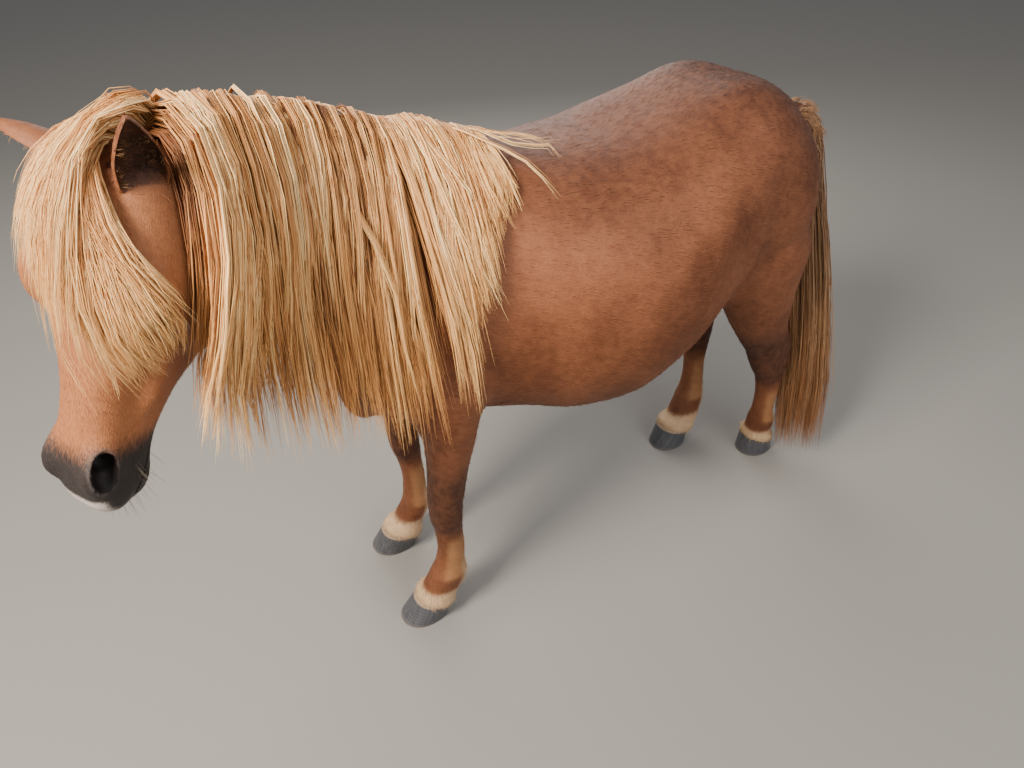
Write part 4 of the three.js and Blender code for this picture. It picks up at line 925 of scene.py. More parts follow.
def markings(p, out):
    """Where each colour of the coat lies, as shares from 0 to 1."""
    head = into_head(p)
    face = head_weight(p)
    left, down, brow = head.T
    above_mouth = (head - MOUTH_START) @ MOUTH_UP
    nostril = np.full(len(p), FAR)
    eyes = np.full(len(p), FAR)
    for s in (1, -1):
        for hollow in NOSTRILS[s]:
            nostril = np.minimum(nostril, hollow.field(head))
        middle, look, corner, lid_up = eye_frame(s)
        away = unit(head - middle)
        ahead = away @ look
        turned = np.hypot(np.arctan2(away @ corner, ahead) / 0.8, np.arctan2(away @ lid_up, ahead) / 0.46)
        near = np.linalg.norm(head - middle, axis=1) < eye_size + 6
        eyes = np.where(near & (ahead > 0), np.minimum(eyes, turned), eyes)
    bridge = ramp(34, 12, np.abs(left)) * ramp(-70, -45, brow)
    grey = face * ramp(290, 350, down - 4 * bridge - 0.18 * (brow + 80))
    # near black inside the nostrils: dark skin, deepened with painted shade of the hollow
    inside = ramp(4, 1.5, nostril) * face
    rim = ramp(8, 4, nostril) * (1 - inside) * face * ramp(-62, -44, brow)
    lip = face * ramp(384, 402, down) * ramp(-1, 2, above_mouth) * ramp(54, 38, above_mouth)
    lip *= ramp(46, 28, np.abs(left))
    chin = face * ramp(356, 390, down) * ramp(2, -4, above_mouth)
    around_eye = ramp(1.5, 1.15, eyes)
    cup = in_cups(p, out)
    # painted shade: the skin below each ear is browned where shadow lies under it
    below_ears = [Egg(70 * s, 62, -100, 18, 46, 40).field(head) for s in (1, -1)]
    shade_under_ear = face * ramp(16, -6, np.minimum(*below_ears))
    height = p[:, 2]
    behind = ramp(0.0, 0.7, out[:, 1])
    leg = leg_weight(p)
    cuff = ramp(104, 74, height)
    fringe_pale = 0.8 * behind * ramp(230, 120, height)
    pale = leg * np.maximum(cuff, fringe_pale)
    fetlock = leg * ramp(84, 104, height) * ramp(150, 122, height) * (1 - fringe_pale)
    gold = leg * ramp(280, 215, height) * ramp(112, 138, height)
    gold *= 0.35 + 0.65 * ramp(-0.9, -0.2, out[:, 1])
    # the legs above the cannons are browner: a darker coat, deepened in part as painted shade
    knee = leg * ramp(245, 290, height)
    # the back and the top of the rump are browner: partly a darker coat along the back, partly painted shade
    # on top
    back = ramp(0.35, 0.95, out[:, 2]) * ramp(120, 300, p[:, 1]) * (1 - on_ears(p))
    rump = ramp(520, 680, p[:, 1]) * ramp(640, 840, height)
    # the belly is redder and darker: the redness is the coat's, the darkening is painted shade
    belly = ramp(0.1, -0.8, out[:, 2]) * ramp(520, 620, height) * ramp(-60, 40, p[:, 1])
    hollow_of_neck = ramp(60, -40, p[:, 1]) * (1 - face) * ramp(520, 700, height)
    # this browning is part the coat's own colour, part painted shade
    brown_and_shade = 0.6 * back + 0.36 * rump + 0.9 * knee + 0.3 * fetlock + 0.3 * hollow_of_neck
    shares = {
        "grey": grey + 0.4 * chin, "pale": pale, "lip": lip, "gold": 0.8 * gold,
        "dark": 1.4 * inside + 0.85 * around_eye + 0.55 * cup, "brown_and_shade": brown_and_shade + 0.5 * cup + 0.5 * shade_under_ear,
        "belly": belly, "leg": leg, "face": face, "rim": rim,
    }
    return {key: np.clip(share, 0, 1) for key, share in shares.items()}


marks = markings(skin_at, skin_out)
for key, values in marks.items():
    store(skin.data, key, values)

coat_finish, tree, surface = new_finish("coat_finish", 0.56, Specular_IOR_Level=0.22)
place = node(tree, "ShaderNodeTexCoord").outputs["Object"]


def noise(tree, vector, scale, detail=2.0, rough=0.5):
    return node(
        tree, "ShaderNodeTexNoise", {"Vector": vector, "Scale": scale, "Detail": detail, "Roughness": rough}
    ).outputs[0]


def maths(tree, operation, *values):
    return node(tree, "ShaderNodeMath", dict(enumerate(values)), operation=operation).outputs[0]


def stretched(tree, vector, way, long_scale, fine_scale):
    """Noise in streaks along one way."""
    way = Vector(way).normalized()
    turned = node(
        tree, "ShaderNodeMapping",
        {"Vector": vector, "Rotation": way.to_track_quat("Z", "Y").to_euler()}, vector_type="TEXTURE",
    ).outputs[0]
    squeezed = node(
        tree, "ShaderNodeMapping", {"Vector": turned, "Scale": (fine_scale, fine_scale, long_scale)}
    ).outputs[0]
    return noise(tree, squeezed, 1.0, 3.0, 0.6)


patches = span(tree, noise(tree, place, 7.0, 4.0, 0.55), 0.3, 0.7)
ticks = span(tree, noise(tree, place, 60.0, 3.0), 0.35, 0.65)
body_streaks = stretched(tree, place, (0, 0.88, -0.42), 55, 520)
leg_streaks = stretched(tree, place, (0, 0.1, -1), 70, 640)
face_streaks = stretched(tree, place, tuple(HEAD_AXES[1]), 90, 800)
streaks = node(tree, "ShaderNodeMix", {0: mask(tree, "leg"), 2: body_streaks, 3: leg_streaks}).outputs[0]
streaks = node(tree, "ShaderNodeMix", {0: mask(tree, "face"), 2: streaks, 3: face_streaks}).outputs[0]
broken = maths(tree, "MULTIPLY", maths(tree, "SUBTRACT", streaks, 0.5), 0.9)


def edged(tree, key, low, high):
    """A mask whose edge is broken up by the streaks of the hair."""
    return span(tree, maths(tree, "ADD", mask(tree, key), broken), low, high)


broad = stretched(tree, place, (0, 0.88, -0.42), 14, 110)
# the face's lighter chestnut is painted sunlight: the body's chestnut as it looks in the sun
CHESTNUT, DEEP_CHESTNUT, SUNLIT_FACE_CHESTNUT = (0.235, 0.083, 0.036), (0.13, 0.041, 0.016), (0.34, 0.125, 0.047)
SHADED_BELLY_RED, BROWN_AND_SHADE, TICKED, GOLD, CREAM = (
    (0.17, 0.052, 0.018), (0.055, 0.019, 0.01), (0.34, 0.13, 0.055), (0.36, 0.17, 0.07), (0.56, 0.37, 0.21)
)
SLATE, LIP_PINK, RIM_GREY, NEAR_BLACK = (
    (0.03, 0.024, 0.022), (0.55, 0.47, 0.42), (0.19, 0.155, 0.14), (0.01, 0.006, 0.005)
)
DARKER, LIGHTER = (0.5, 0.4, 0.34), (1.2, 1.22, 1.25)
colour = mixed(tree, patches, DEEP_CHESTNUT, CHESTNUT)
for share, over in (
    (mask(tree, "face"), SUNLIT_FACE_CHESTNUT), (maths(tree, "MULTIPLY", mask(tree, "belly"), 0.55), SHADED_BELLY_RED),
    (mask(tree, "brown_and_shade"), BROWN_AND_SHADE), (maths(tree, "MULTIPLY", ticks, 0.14), TICKED),
    (edged(tree, "gold", 0.2, 0.9), GOLD), (edged(tree, "pale", 0.15, 0.9), CREAM),
    (edged(tree, "grey", 0.1, 0.95), SLATE), (edged(tree, "lip", 0.2, 0.8), LIP_PINK),
    (maths(tree, "MULTIPLY", mask(tree, "rim"), 0.55), RIM_GREY), (edged(tree, "dark", 0.2, 0.8), NEAR_BLACK),
):
    colour = mixed(tree, share, colour, over)
for share, times in (
    (span(tree, streaks, 0.3, 0.72, 0.0, 0.4), DARKER), (span(tree, broad, 0.35, 0.7, 0.0, 0.2), DARKER),
    (span(tree, mask(tree, "tone"), 0.0, 1.0, 0.0, 0.3), LIGHTER),
):
    colour = mixed(tree, share, colour, times, blend="MULTIPLY")
tree.links.new(colour, surface.inputs["Base Color"])
heights = maths(tree, "MULTIPLY_ADD", broad, 0.4, streaks)
bump = node(tree, "ShaderNodeBump", {"Strength": 0.75, "Distance": 0.001, "Height": heights}).outputs[0]
tree.links.new(bump, surface.inputs["Normal"])


def finished(made, finish, sharp):
    """One finish all over, smooth but for edges sharper than an angle in degrees."""
    made.data.materials.clear()
    made.data.materials.append(finish)
    made.data.polygons.foreach_set("material_index", np.zeros(len(made.data.polygons), np.int32))
    made.data.shade_smooth()
    made.data.set_sharp_from_angle(angle=math.radians(sharp))


finished(skin, coat_finish, 70)
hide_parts("torso", "neck", "head", "ear_left", "ear_right")
for name in legs:
    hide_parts(name + "_upper", name + "_lower")
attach(skin, "root")

# Short hair
# Small flat tufts over the whole hide, rooted just under it and lying the way the coat lies:
# longest behind the fetlocks and under the belly, shortest on the face. One node tree scatters
# them and each copy takes its colour masks from the hide under it.
def geometry_tree(name, inputs):
    """A new tree with a mesh going in, named sizes, and a mesh coming out."""
    tree = bpy.data.node_groups.new(name, "GeometryNodeTree")
    tree.interface.new_socket("Mesh", in_out="INPUT", socket_type="NodeSocketGeometry")
    for label, kind in inputs.items():
        tree.interface.new_socket(label, in_out="INPUT", socket_type="NodeSocket" + kind)
    tree.interface.new_socket("Mesh", in_out="OUTPUT", socket_type="NodeSocketGeometry")
    return tree, node(tree, "NodeGroupInput").outputs


def vectors(tree, operation, a, b=None, scale=None):
    inputs = {0: a}
    if b is not None:
        inputs[1] = b
    if scale is not None:
        inputs["Scale"] = scale
    return node(tree, "ShaderNodeVectorMath", inputs, operation=operation).outputs["Vector"]


def named(tree, key, kind="FLOAT"):
    """A stored value, read back in a node tree."""
    return node(tree, "GeometryNodeInputNamedAttribute", {"Name": key}, data_type=kind).outputs[0]


def kept(tree, geometry, key, value, kind="FLOAT", domain="POINT"):
    inputs = {"Geometry": geometry, "Name": key, "Value": value}
    return node(tree, "GeometryNodeStoreNamedAttribute", inputs, data_type=kind, domain=domain).outputs[0]


def drawn_at_random(tree, seed, low, high, kind="FLOAT", key=None):
    made = node(tree, "FunctionNodeRandomValue", {"Seed": seed}, data_type=kind)
    if key is not None:
        tree.links.new(key, made.inputs["ID"])
    first = 0 if kind == "FLOAT_VECTOR" else 2
    made.inputs[first].default_value, made.inputs[first + 1].default_value = low, high
    return made.outputs[0 if kind == "FLOAT_VECTOR" else 1]


def grown_from(base, tree, name, sizes):
    """The node tree's result on a base object, as a plain mesh object that replaces the base."""
    modifier = base.modifiers.new("grow", "NODES")
    modifier.node_group = tree
    for item in tree.interface.items_tree:
        if item.in_out == "INPUT" and item.name in sizes:
            modifier[item.identifier] = sizes[item.name]
    mesh = as_changed(base)
    base.modifiers.remove(modifier)
    bpy.data.objects.remove(base)
    mesh.name = name
    return placed(name, mesh)


def fur_tree():
    """Scatters tufts over a hide, as many, as long and as wide as it says at each place."""
    tree, given = geometry_tree(
        "scattered_tufts", {"Seed": "Int", "Tilt": "Float", "Patch": "Float", "Finish": "Material"}
    )
    spots = node(
        tree, "GeometryNodeDistributePointsOnFaces",
        {"Mesh": given["Mesh"], "Density": named(tree, "many"), "Seed": given["Seed"]},
    )
    away = spots.outputs["Normal"]
    seed = maths(tree, "ADD", given["Seed"], 1)
    astray = drawn_at_random(tree, seed, (-0.2,) * 3, (0.2,) * 3, "FLOAT_VECTOR")
    lie = vectors(tree, "ADD", named(tree, "lie", "FLOAT_VECTOR"), astray)
    lie = vectors(tree, "ADD", lie, vectors(tree, "SCALE", away, scale=given["Tilt"]))
    turn = node(
        tree, "FunctionNodeAxesToRotation", {"Primary Axis": lie, "Secondary Axis": away},
        primary_axis="Z", secondary_axis="X",
    ).outputs[0]
    tuft = node(
        tree, "GeometryNodeMeshCone",
        {
            "Vertices": 3, "Side Segments": 2, "Fill Segments": 1, "Radius Top": 0.0,
            "Radius Bottom": 0.5, "Depth": 1.0,
        },
        fill_type="NGON",
    ).outputs["Mesh"]
    own_place = node(tree, "GeometryNodeInputPosition").outputs[0]
    tuft = kept(tree, tuft, "local", own_place, "FLOAT_VECTOR")
    parts = node(tree, "ShaderNodeSeparateXYZ", {0: own_place})
    height = parts.outputs["Z"]
    bend = maths(tree, "MULTIPLY", maths(tree, "MULTIPLY", height, height), -1.3)
    tuft = node(
        tree, "GeometryNodeSetPosition",
        {"Geometry": tuft, "Offset": node(tree, "ShaderNodeCombineXYZ", {"X": bend}).outputs[0]},
    ).outputs[0]
    longer = drawn_at_random(tree, maths(tree, "ADD", given["Seed"], 2), 0.7, 1.25)
    long = maths(tree, "MULTIPLY", named(tree, "long"), longer)
    wide = named(tree, "wide")
    size = node(
        tree, "ShaderNodeCombineXYZ", {"X": maths(tree, "MULTIPLY", wide, 0.18), "Y": wide, "Z": long}
    ).outputs[0]
    tufts = node(
        tree, "GeometryNodeInstanceOnPoints",
        {"Points": spots.outputs["Points"], "Instance": tuft, "Rotation": turn, "Scale": size},
    ).outputs[0]
    tone = drawn_at_random(tree, maths(tree, "ADD", given["Seed"], 3), 0.0, 1.0)
    tufts = kept(tree, tufts, "tone", tone, domain="INSTANCE")
    mesh = node(tree, "GeometryNodeRealizeInstances", {"Geometry": tufts}).outputs[0]
    patch = vectors(tree, "SCALE", named(tree, "local", "FLOAT_VECTOR"), scale=given["Patch"])
    turned = node(tree, "ShaderNodeSeparateXYZ", {0: patch})
    patch = node(
        tree, "ShaderNodeCombineXYZ",
        {"X": maths(tree, "ADD", turned.outputs["X"], turned.outputs["Y"]), "Y": turned.outputs["Z"]},
    ).outputs[0]
    spot = vectors(tree, "ADD", named(tree, "spot", "FLOAT_VECTOR"), patch)
    mesh = kept(tree, mesh, "OFBake", spot, "FLOAT2", "CORNER")
    mesh = node(tree, "GeometryNodeSetShadeSmooth", {"Geometry": mesh, "Shade Smooth": False}).outputs[0]
    mesh = node(tree, "GeometryNodeSetMaterial", {"Geometry": mesh, "Material": given["Finish"]}).outputs[0]
    tree.links.new(mesh, node(tree, "NodeGroupOutput").inputs["Mesh"])
    return tree


def unwrapped(p):
    """Where a point of the hide lies on a flat map: trunk and neck above, legs and head below."""
    middle = np.interp(p[:, 1], [-350, -100, 100, 900], [1010, 760, 710, 760])
    across = np.interp(p[:, 1], [-350, -100, 0], [146, 40, 0])
    around = np.arctan2(p[:, 0] - across, p[:, 2] - middle) / (2 * np.pi) + 0.5
    spot = np.stack([0.02 + 0.95 * ramp(-400, 960, p[:, 1]), 0.36 + 0.6 * around], axis=1)
    for i, name in enumerate(legs):
        rows = np.array(LEG_ROWS[name])
        middle = rows[:, 1].mean(), ((rows[:, 3] - rows[:, 2]) / 2).mean()
        on = (p[:, 2] < 470) & ((p[:, 0] > 0) == (middle[0] > 0)) & ((p[:, 1] > 400) == (middle[1] > 400))
        around = np.arctan2(p[on, 0] - middle[0], p[on, 1] - middle[1]) / (2 * np.pi) + 0.5
        spot[on] = np.stack([0.02 + 0.15 * i + 0.13 * around, 0.02 + 0.31 * p[on, 2] / 470], axis=1)
    head = into_head(p)
    on = head_weight(p) > 0.5
    around = np.arctan2(head[on, 0], head[on, 2] + 80) / (2 * np.pi) + 0.5
    spot[on] = np.stack([0.64 + 0.34 * around, 0.02 + 0.31 * np.clip(head[on, 1] / 440, 0, 1)], axis=1)
    return np.column_stack([spot, np.zeros(len(p))])


FUR_TREE = fur_tree()
loop_count = read(skin.data.polygons, "loop_total", kind=int)
loop_corner = read(skin.data.loops, "vertex_index", kind=int)
face_area = read(skin.data.polygons, "area", kind=float)
corner_area = np.zeros(len(skin_at))
np.add.at(corner_area, loop_corner, np.repeat(face_area / loop_count, loop_count))
lie = lie_of(skin_at, skin_out)
spot = unwrapped(skin_at)


def fur_piece(name, where, count, long, wide, tilt, seed):
    """Tufts where a weight says, a count of them in all, with lengths and widths in millimetres."""
    base = placed(name + "_base", skin.data.copy())
    store(base.data, "many", where * count / (where * corner_area).sum())
    store(base.data, "long", long * MM)
    store(base.data, "wide", wide * MM + 0 * where)
    store(base.data, "lie", lie, "FLOAT_VECTOR", "vector")
    store(base.data, "spot", spot, "FLOAT_VECTOR", "vector")
    values = {"Seed": seed, "Tilt": tilt, "Patch": 0.003, "Finish": coat_finish}
    piece = grown_from(base, FUR_TREE, name, values)
    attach(piece, "root")


face, leg = head_weight(skin_at), leg_weight(skin_at)
ears, cups = on_ears(skin_at), in_cups(skin_at, skin_out)
body = (1 - np.maximum(face, ears)) * (1 - leg)
off_nostrils = [h.field(into_head(skin_at)) for s in (1, -1) for h in NOSTRILS[s]]
off_eyes = [np.linalg.norm(skin_at - place, axis=1) - EYE["radius"] for place in eye_places]
bare = ramp(2, 8, np.min(off_nostrils, axis=0)) * ramp(1, 7, np.min(off_eyes, axis=0))
bare *= 1 - 0.8 * marks["lip"]
fringe = leg * ramp(0.1, 0.8, skin_out[:, 1])
fetlock_fringe = fringe * ramp(66, 90, skin_at[:, 2]) * ramp(175, 120, skin_at[:, 2])
body_long = 14 + 6 * marks["belly"] + 3 * ramp(150, -50, skin_at[:, 1])
coronet_hair = leg * ramp(40, 8, above_coronet(skin_at))
leg_long = 10 + 7 * fringe + 14 * fetlock_fringe + 6 * coronet_hair
head_at = into_head(skin_at)
face_long = 7.5 - 3.5 * ramp(240, 340, head_at[:, 1]) + 3 * ramp(-110, -180, head_at[:, 2])
fur_piece("fore_fur", body * ramp(300, 270, skin_at[:, 1]), 14500, body_long, 1.9, 0.05, 31)
fur_piece("hind_fur", body * ramp(270, 300, skin_at[:, 1]), 17000, body_long, 1.9, 0.05, 32)
fur_piece("leg_fur", leg * ramp(-6, 0, above_coronet(skin_at)), 13000, leg_long, 1.4, 0.13, 33)
fur_piece("face_fur", np.maximum(face, ears) * bare * (1 - cups), 15800, face_long, 1.1, 0.09, 34)

# Long hair
# The mane grows along the crest and falls to the left, the forelock falls from between the
# ears over the brow, and the tail hangs from its dock. Each lock is led by one path, laid over
# the hide, and holds many fine tapered hairs, which one node tree makes for all of them.
ear_rods = [
    Rod(pose["root"], np.asarray(pose["root"]) + unit(pose["tip"]) * EAR["length"], 31, 15)
    for pose in EAR_POSES.values()
]
eye_rods = [Rod(place, place + 0.01, EYE["radius"] + 6, EYE["radius"] + 6) for place in eye_places]


def hair_bed(p):
    """What the hair lies on: the flesh, the ears and the eyes."""
    value = flesh(p)
    for part in ear_rods + eye_rods:
        value = np.minimum(value, part.field(p))
    return value


STATIONS = np.concatenate([[0], np.linspace(0.03, 1, 17) ** 1.25])
KEPT_STATIONS = [0, 1, 2, 4, 6, 8, 10, 12, 14, 17]  # the path bends most near its root
ROOT_DEPTH = 6  # how far under the hide a hair starts
DRAWN_ROUNDS, SMOOTH_ROUNDS = 5, 7


def lay_locks(roots, leaves, tips, lifts, bed, stiff=0.22, drawn=0.5, fall=0.35):
    """Paths that leave their roots a given way, lie over the bed, and hang at their tips."""
    length = np.linalg.norm(tips - roots, axis=1, keepdims=True)
    leaves = unit(leaves)
    t = STATIONS[None, :, None]
    a, b, c, d = (
        x[:, None, :] for x in (roots, roots + leaves * length * stiff, tips + Z_AXIS * length * fall, tips)
    )
    paths = (1 - t) ** 3 * a + 3 * (1 - t) ** 2 * t * b + 3 * (1 - t) * t**2 * c + t**3 * d
    needed = lifts[:, None] * np.minimum(1, 0.25 + 5 * STATIONS) + 1
    pull = 0.9 * np.clip(1 - STATIONS / drawn, 0, 1) * np.ones_like(needed)
    for _ in range(DRAWN_ROUNDS):
        flat = paths.reshape(-1, 3)
        off = bed(flat).reshape(needed.shape) - needed
        way = outward(bed, flat, 2.0)[0].reshape(paths.shape)
        move = np.where(off < 0, 1, pull) * -off
        move[:, 0] = 0
        paths = paths + way * np.clip(move, -40, 40)[:, :, None]
    for _ in range(SMOOTH_ROUNDS):
        paths[:, 1:-1] = (paths[:, :-2] + 2 * paths[:, 1:-1] + paths[:, 2:]) / 4
    flat = paths.reshape(-1, 3)
    off = bed(flat).reshape(needed.shape)
    way = outward(bed, flat, 2.0)[0].reshape(paths.shape)
    push = np.clip(np.minimum(needed, 4) - off, 0, 40)
    push[:, 0] = 0
    push[:, 1:-1] = np.maximum(push[:, 1:-1], (push[:, :-2] + 2 * push[:, 1:-1] + push[:, 2:]) / 4)
    paths = paths + way * push[:, :, None]
    paths[:, 0] -= leaves * ROOT_DEPTH
    # the way each lock faces: away from the bed near it, and steady where it hangs free
    near = np.clip(1 - (off - 20) / 60, 0.02, 1)
    normal = way.copy()
    for i in range(1, paths.shape[1]):
        share = near[:, i : i + 1] * 0.6
        normal[:, i] = unit(normal[:, i - 1] * (1 - share) + way[:, i] * share)
    along = unit(np.gradient(paths, axis=1))
    side = unit(np.cross(along, normal))
    return paths, side, np.cross(side, along)


def swayed(laid, amount, random):
    """Each path with a slow wave of its own, none at its root."""
    paths, sides, outs = laid
    n = len(paths)
    for ways, share in ((sides, 1.0), (outs, 0.35)):
        turns = 0.7 + 1.3 * random.random((n, 1))
        start = 2 * np.pi * random.random((n, 1))
        size = amount * share * random.random((n, 1)) * STATIONS**0.8
        paths = paths + ways * (size * np.sin(2 * np.pi * turns * STATIONS + start))[:, :, None]
    return paths, sides, outs


def tapering(widths, keys, shares):
    """How far the hairs of each lock spread at each station, from root to tip."""
    return np.outer(widths, np.interp(STATIONS, keys, shares))


def lock_guides(name, laid, spreads, places, shades):
    """The paths as one object of loose edges that carries what the node tree reads."""
    paths, sides, outs, spreads = (values[:, KEPT_STATIONS] for values in (*laid, spreads))
    count, length = paths.shape[:2]
    mesh = bpy.data.meshes.new(name)
    index = np.arange(count * length).reshape(count, length)
    edges = np.stack([index[:, :-1], index[:, 1:]], axis=-1).reshape(-1, 2)
    mesh.from_pydata(to_row(paths.reshape(-1, 3)).tolist(), edges.tolist(), [])
    spots = np.zeros((count, length, 3))
    spots[:, :, :2] = places[:, None, :]
    store(mesh, "side", sides, "FLOAT_VECTOR", "vector")
    store(mesh, "out", outs, "FLOAT_VECTOR", "vector")
    store(mesh, "spread", spreads * MM)
    store(mesh, "spot", spots, "FLOAT_VECTOR", "vector")
    store(mesh, "shade", np.repeat(shades[:, None], length, axis=1))
    return placed(name, mesh)


def hair_tree():
    """Turns each guide into a lock of thin tapered hairs."""
    tree, given = geometry_tree(
        "hairs_of_locks",
        {
            "Hairs in a lock": "Int", "Hair radius": "Float", "Depth share": "Float", "Wave": "Float",
            "Shortest": "Float", "Astray": "Float", "Seed": "Int", "Patch": "Float", "Finish": "Material",
        },
    )
    index = node(tree, "GeometryNodeInputIndex").outputs[0]
    locks = node(tree, "GeometryNodeMeshToCurve", {"Mesh": given["Mesh"]}).outputs[0]
    hairs = node(
        tree, "GeometryNodeDuplicateElements", {"Geometry": locks, "Amount": given["Hairs in a lock"]},
        domain="SPLINE",
    ).outputs[0]
    for offset, key in enumerate(("across", "deep", "tone", "kink", "cut", "stray")):
        seed = maths(tree, "ADD", given["Seed"], offset)
        value = drawn_at_random(tree, seed, -1 if key in ("across", "deep") else 0, 1, key=index)
        hairs = kept(tree, hairs, key, value, domain="CURVE")
    factor = node(tree, "GeometryNodeSplineParameter").outputs["Factor"]
    hairs = kept(tree, hairs, "along", factor)
    # a few hairs in each lock stray wide of it towards their tips
    stray = maths(tree, "MULTIPLY", maths(tree, "POWER", named(tree, "stray"), 8.0), given["Astray"])
    wider = maths(tree, "MULTIPLY_ADD", stray, named(tree, "along"), named(tree, "spread"))
    reach = maths(tree, "MULTIPLY", named(tree, "across"), wider)
    sideways = vectors(tree, "SCALE", named(tree, "side", "FLOAT_VECTOR"), scale=reach)
    depth = maths(tree, "MULTIPLY", named(tree, "deep"), wider)
    depth = maths(tree, "MULTIPLY", depth, given["Depth share"])
    lifted = vectors(tree, "SCALE", named(tree, "out", "FLOAT_VECTOR"), scale=depth)
    ripple = node(
        tree, "ShaderNodeTexNoise",
        {
            "Vector": node(tree, "GeometryNodeInputPosition").outputs[0],
            "W": maths(tree, "MULTIPLY", named(tree, "kink"), 40.0), "Scale": 8.0, "Detail": 1.0,
        },
        noise_dimensions="4D",
    ).outputs["Color"]
    ripple = vectors(tree, "SUBTRACT", ripple, (0.5, 0.5, 0.5))
    wave = maths(tree, "MULTIPLY", given["Wave"], named(tree, "along"))
    ripple = vectors(tree, "SCALE", ripple, scale=wave)
    offset = vectors(tree, "ADD", vectors(tree, "ADD", sideways, lifted), ripple)
    hairs = node(tree, "GeometryNodeSetPosition", {"Geometry": hairs, "Offset": offset}).outputs[0]
    shorter = maths(tree, "MULTIPLY", named(tree, "cut"), maths(tree, "SUBTRACT", 1.0, given["Shortest"]))
    end = maths(tree, "SUBTRACT", 1.0, shorter)
    hairs = node(tree, "GeometryNodeTrimCurve", {"Curve": hairs, 3: end}, mode="FACTOR").outputs[0]
    factor = node(tree, "GeometryNodeSplineParameter").outputs["Factor"]
    hairs = kept(tree, hairs, "along", factor)
    taper = maths(tree, "SUBTRACT", 1.0, maths(tree, "POWER", factor, 2.2))
    taper = maths(tree, "MAXIMUM", maths(tree, "POWER", taper, 0.7), 0.12)
    radius = maths(tree, "MULTIPLY", taper, given["Hair radius"])
    thickness = maths(tree, "MULTIPLY_ADD", named(tree, "kink"), 0.8, 0.6)
    radius = maths(tree, "MULTIPLY", radius, thickness)
    ring = node(tree, "GeometryNodeCurvePrimitiveCircle", {"Resolution": 3, "Radius": 1.0}).outputs[0]
    ring = kept(tree, ring, "around", maths(tree, "DIVIDE", index, 3.0))
    mesh = node(
        tree, "GeometryNodeCurveToMesh",
        {"Curve": hairs, "Profile Curve": ring, "Scale": radius, "Fill Caps": True},
    ).outputs[0]
    spot = named(tree, "spot", "FLOAT_VECTOR")
    for first, second, size in (("across", "deep", 0.006), ("around", "along", given["Patch"])):
        flat = node(tree, "ShaderNodeCombineXYZ", {"X": named(tree, first), "Y": named(tree, second)})
        spot = vectors(tree, "ADD", spot, vectors(tree, "SCALE", flat.outputs[0], scale=size))
    mesh = kept(tree, mesh, "OFBake", spot, "FLOAT2", "CORNER")
    mesh = node(tree, "GeometryNodeSetShadeSmooth", {"Geometry": mesh, "Shade Smooth": True}).outputs[0]
    mesh = node(tree, "GeometryNodeRealizeInstances", {"Geometry": mesh}).outputs[0]
    mesh = node(tree, "GeometryNodeSetMaterial", {"Geometry": mesh, "Material": given["Finish"]}).outputs[0]
    tree.links.new(mesh, node(tree, "NodeGroupOutput").inputs["Mesh"])
    return tree


HAIR_TREE = hair_tree()


def hair_piece(name, laid, spreads, places, shades, finish, **sizes):
    """Hairs round laid paths, each at a place on a flat map of where they grow."""
    guides = lock_guides(name + "_guides", laid, spreads, places, shades)
    given = {
        "Hair radius": 0.0007, "Depth share": 0.4, "Wave": 0.012, "Shortest": 0.72, "Astray": 0.032,
        "Patch": 0.003, "Finish": finish,
    }
    given.update({key.replace("_", " "): value for key, value in sizes.items()})
    piece = grown_from(guides, HAIR_TREE, name, given)
    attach(piece, "root")
    return piece


def hair_finish(name, root, middle, tip, light):
    """Hair that goes from one colour at its root to another at its tip, and varies by the lock."""
    finish, tree, surface = new_finish(name, 0.45, Specular_IOR_Level=0.25)
    along, shade, tone = mask(tree, "along"), mask(tree, "shade"), mask(tree, "tone")
    varied = maths(tree, "MULTIPLY_ADD", maths(tree, "SUBTRACT", shade, 0.5), 0.9, along)
    varied = maths(tree, "MULTIPLY_ADD", maths(tree, "SUBTRACT", tone, 0.5), 0.5, varied)
    colour = mixed(tree, span(tree, varied, -0.25, 0.35), root, middle)
    colour = mixed(tree, span(tree, varied, 0.35, 1.15), colour, tip)
    lightest = maths(tree, "MULTIPLY", shade, tone)
    colour = mixed(tree, span(tree, lightest, 0.35, 0.8, 0.0, 0.75), colour, light)
    colour = mixed(tree, span(tree, tone, 0.25, 0.0, 0.0, 0.55), colour, root)
    tree.links.new(colour, surface.inputs["Base Color"])
    return finish


flaxen = hair_finish(
    "flaxen", (0.17, 0.06, 0.02), (0.62, 0.28, 0.09), (0.9, 0.5, 0.18), (0.97, 0.72, 0.36)
)


def crest(y, sideways):
    """Places on the crest of the neck and the withers, to one side of its middle."""
    top = np.where(y < 60, neck_rows["top"](y), trunk_rows["top"](y))
    p = np.stack([neck_rows["across"](y) + sideways, y, top - np.abs(sideways) * 0.3], axis=1)
    return drawn_onto(flesh, p, 5)


MANE = {"start": -282, "end": 178}
mane_tips = table(
    ["x", "y", "z"],
    [
        [-276, 220, -331, 722],
        [-250, 219, -306, 690],
        [-210, 214, -262, 668],
        [-150, 208, -186, 630],
        [-90, 206, -136, 612],
        [-30, 208, -66, 572],
        [13, 214, -15, 560],
        [19, 210, 46, 608],
        [40, 208, 60, 600],
        [54, 206, 64, 730],
        [95, 197, 98, 775],
        [130, 184, 118, 828],
        [155, 160, 142, 868],
        [178, 132, 186, 886],
    ],
)
mane_rise = curve([-276, -190, -110, -20, 60, 150], [1.65, 1.5, 1.35, 1.1, 0.75, 0.5])


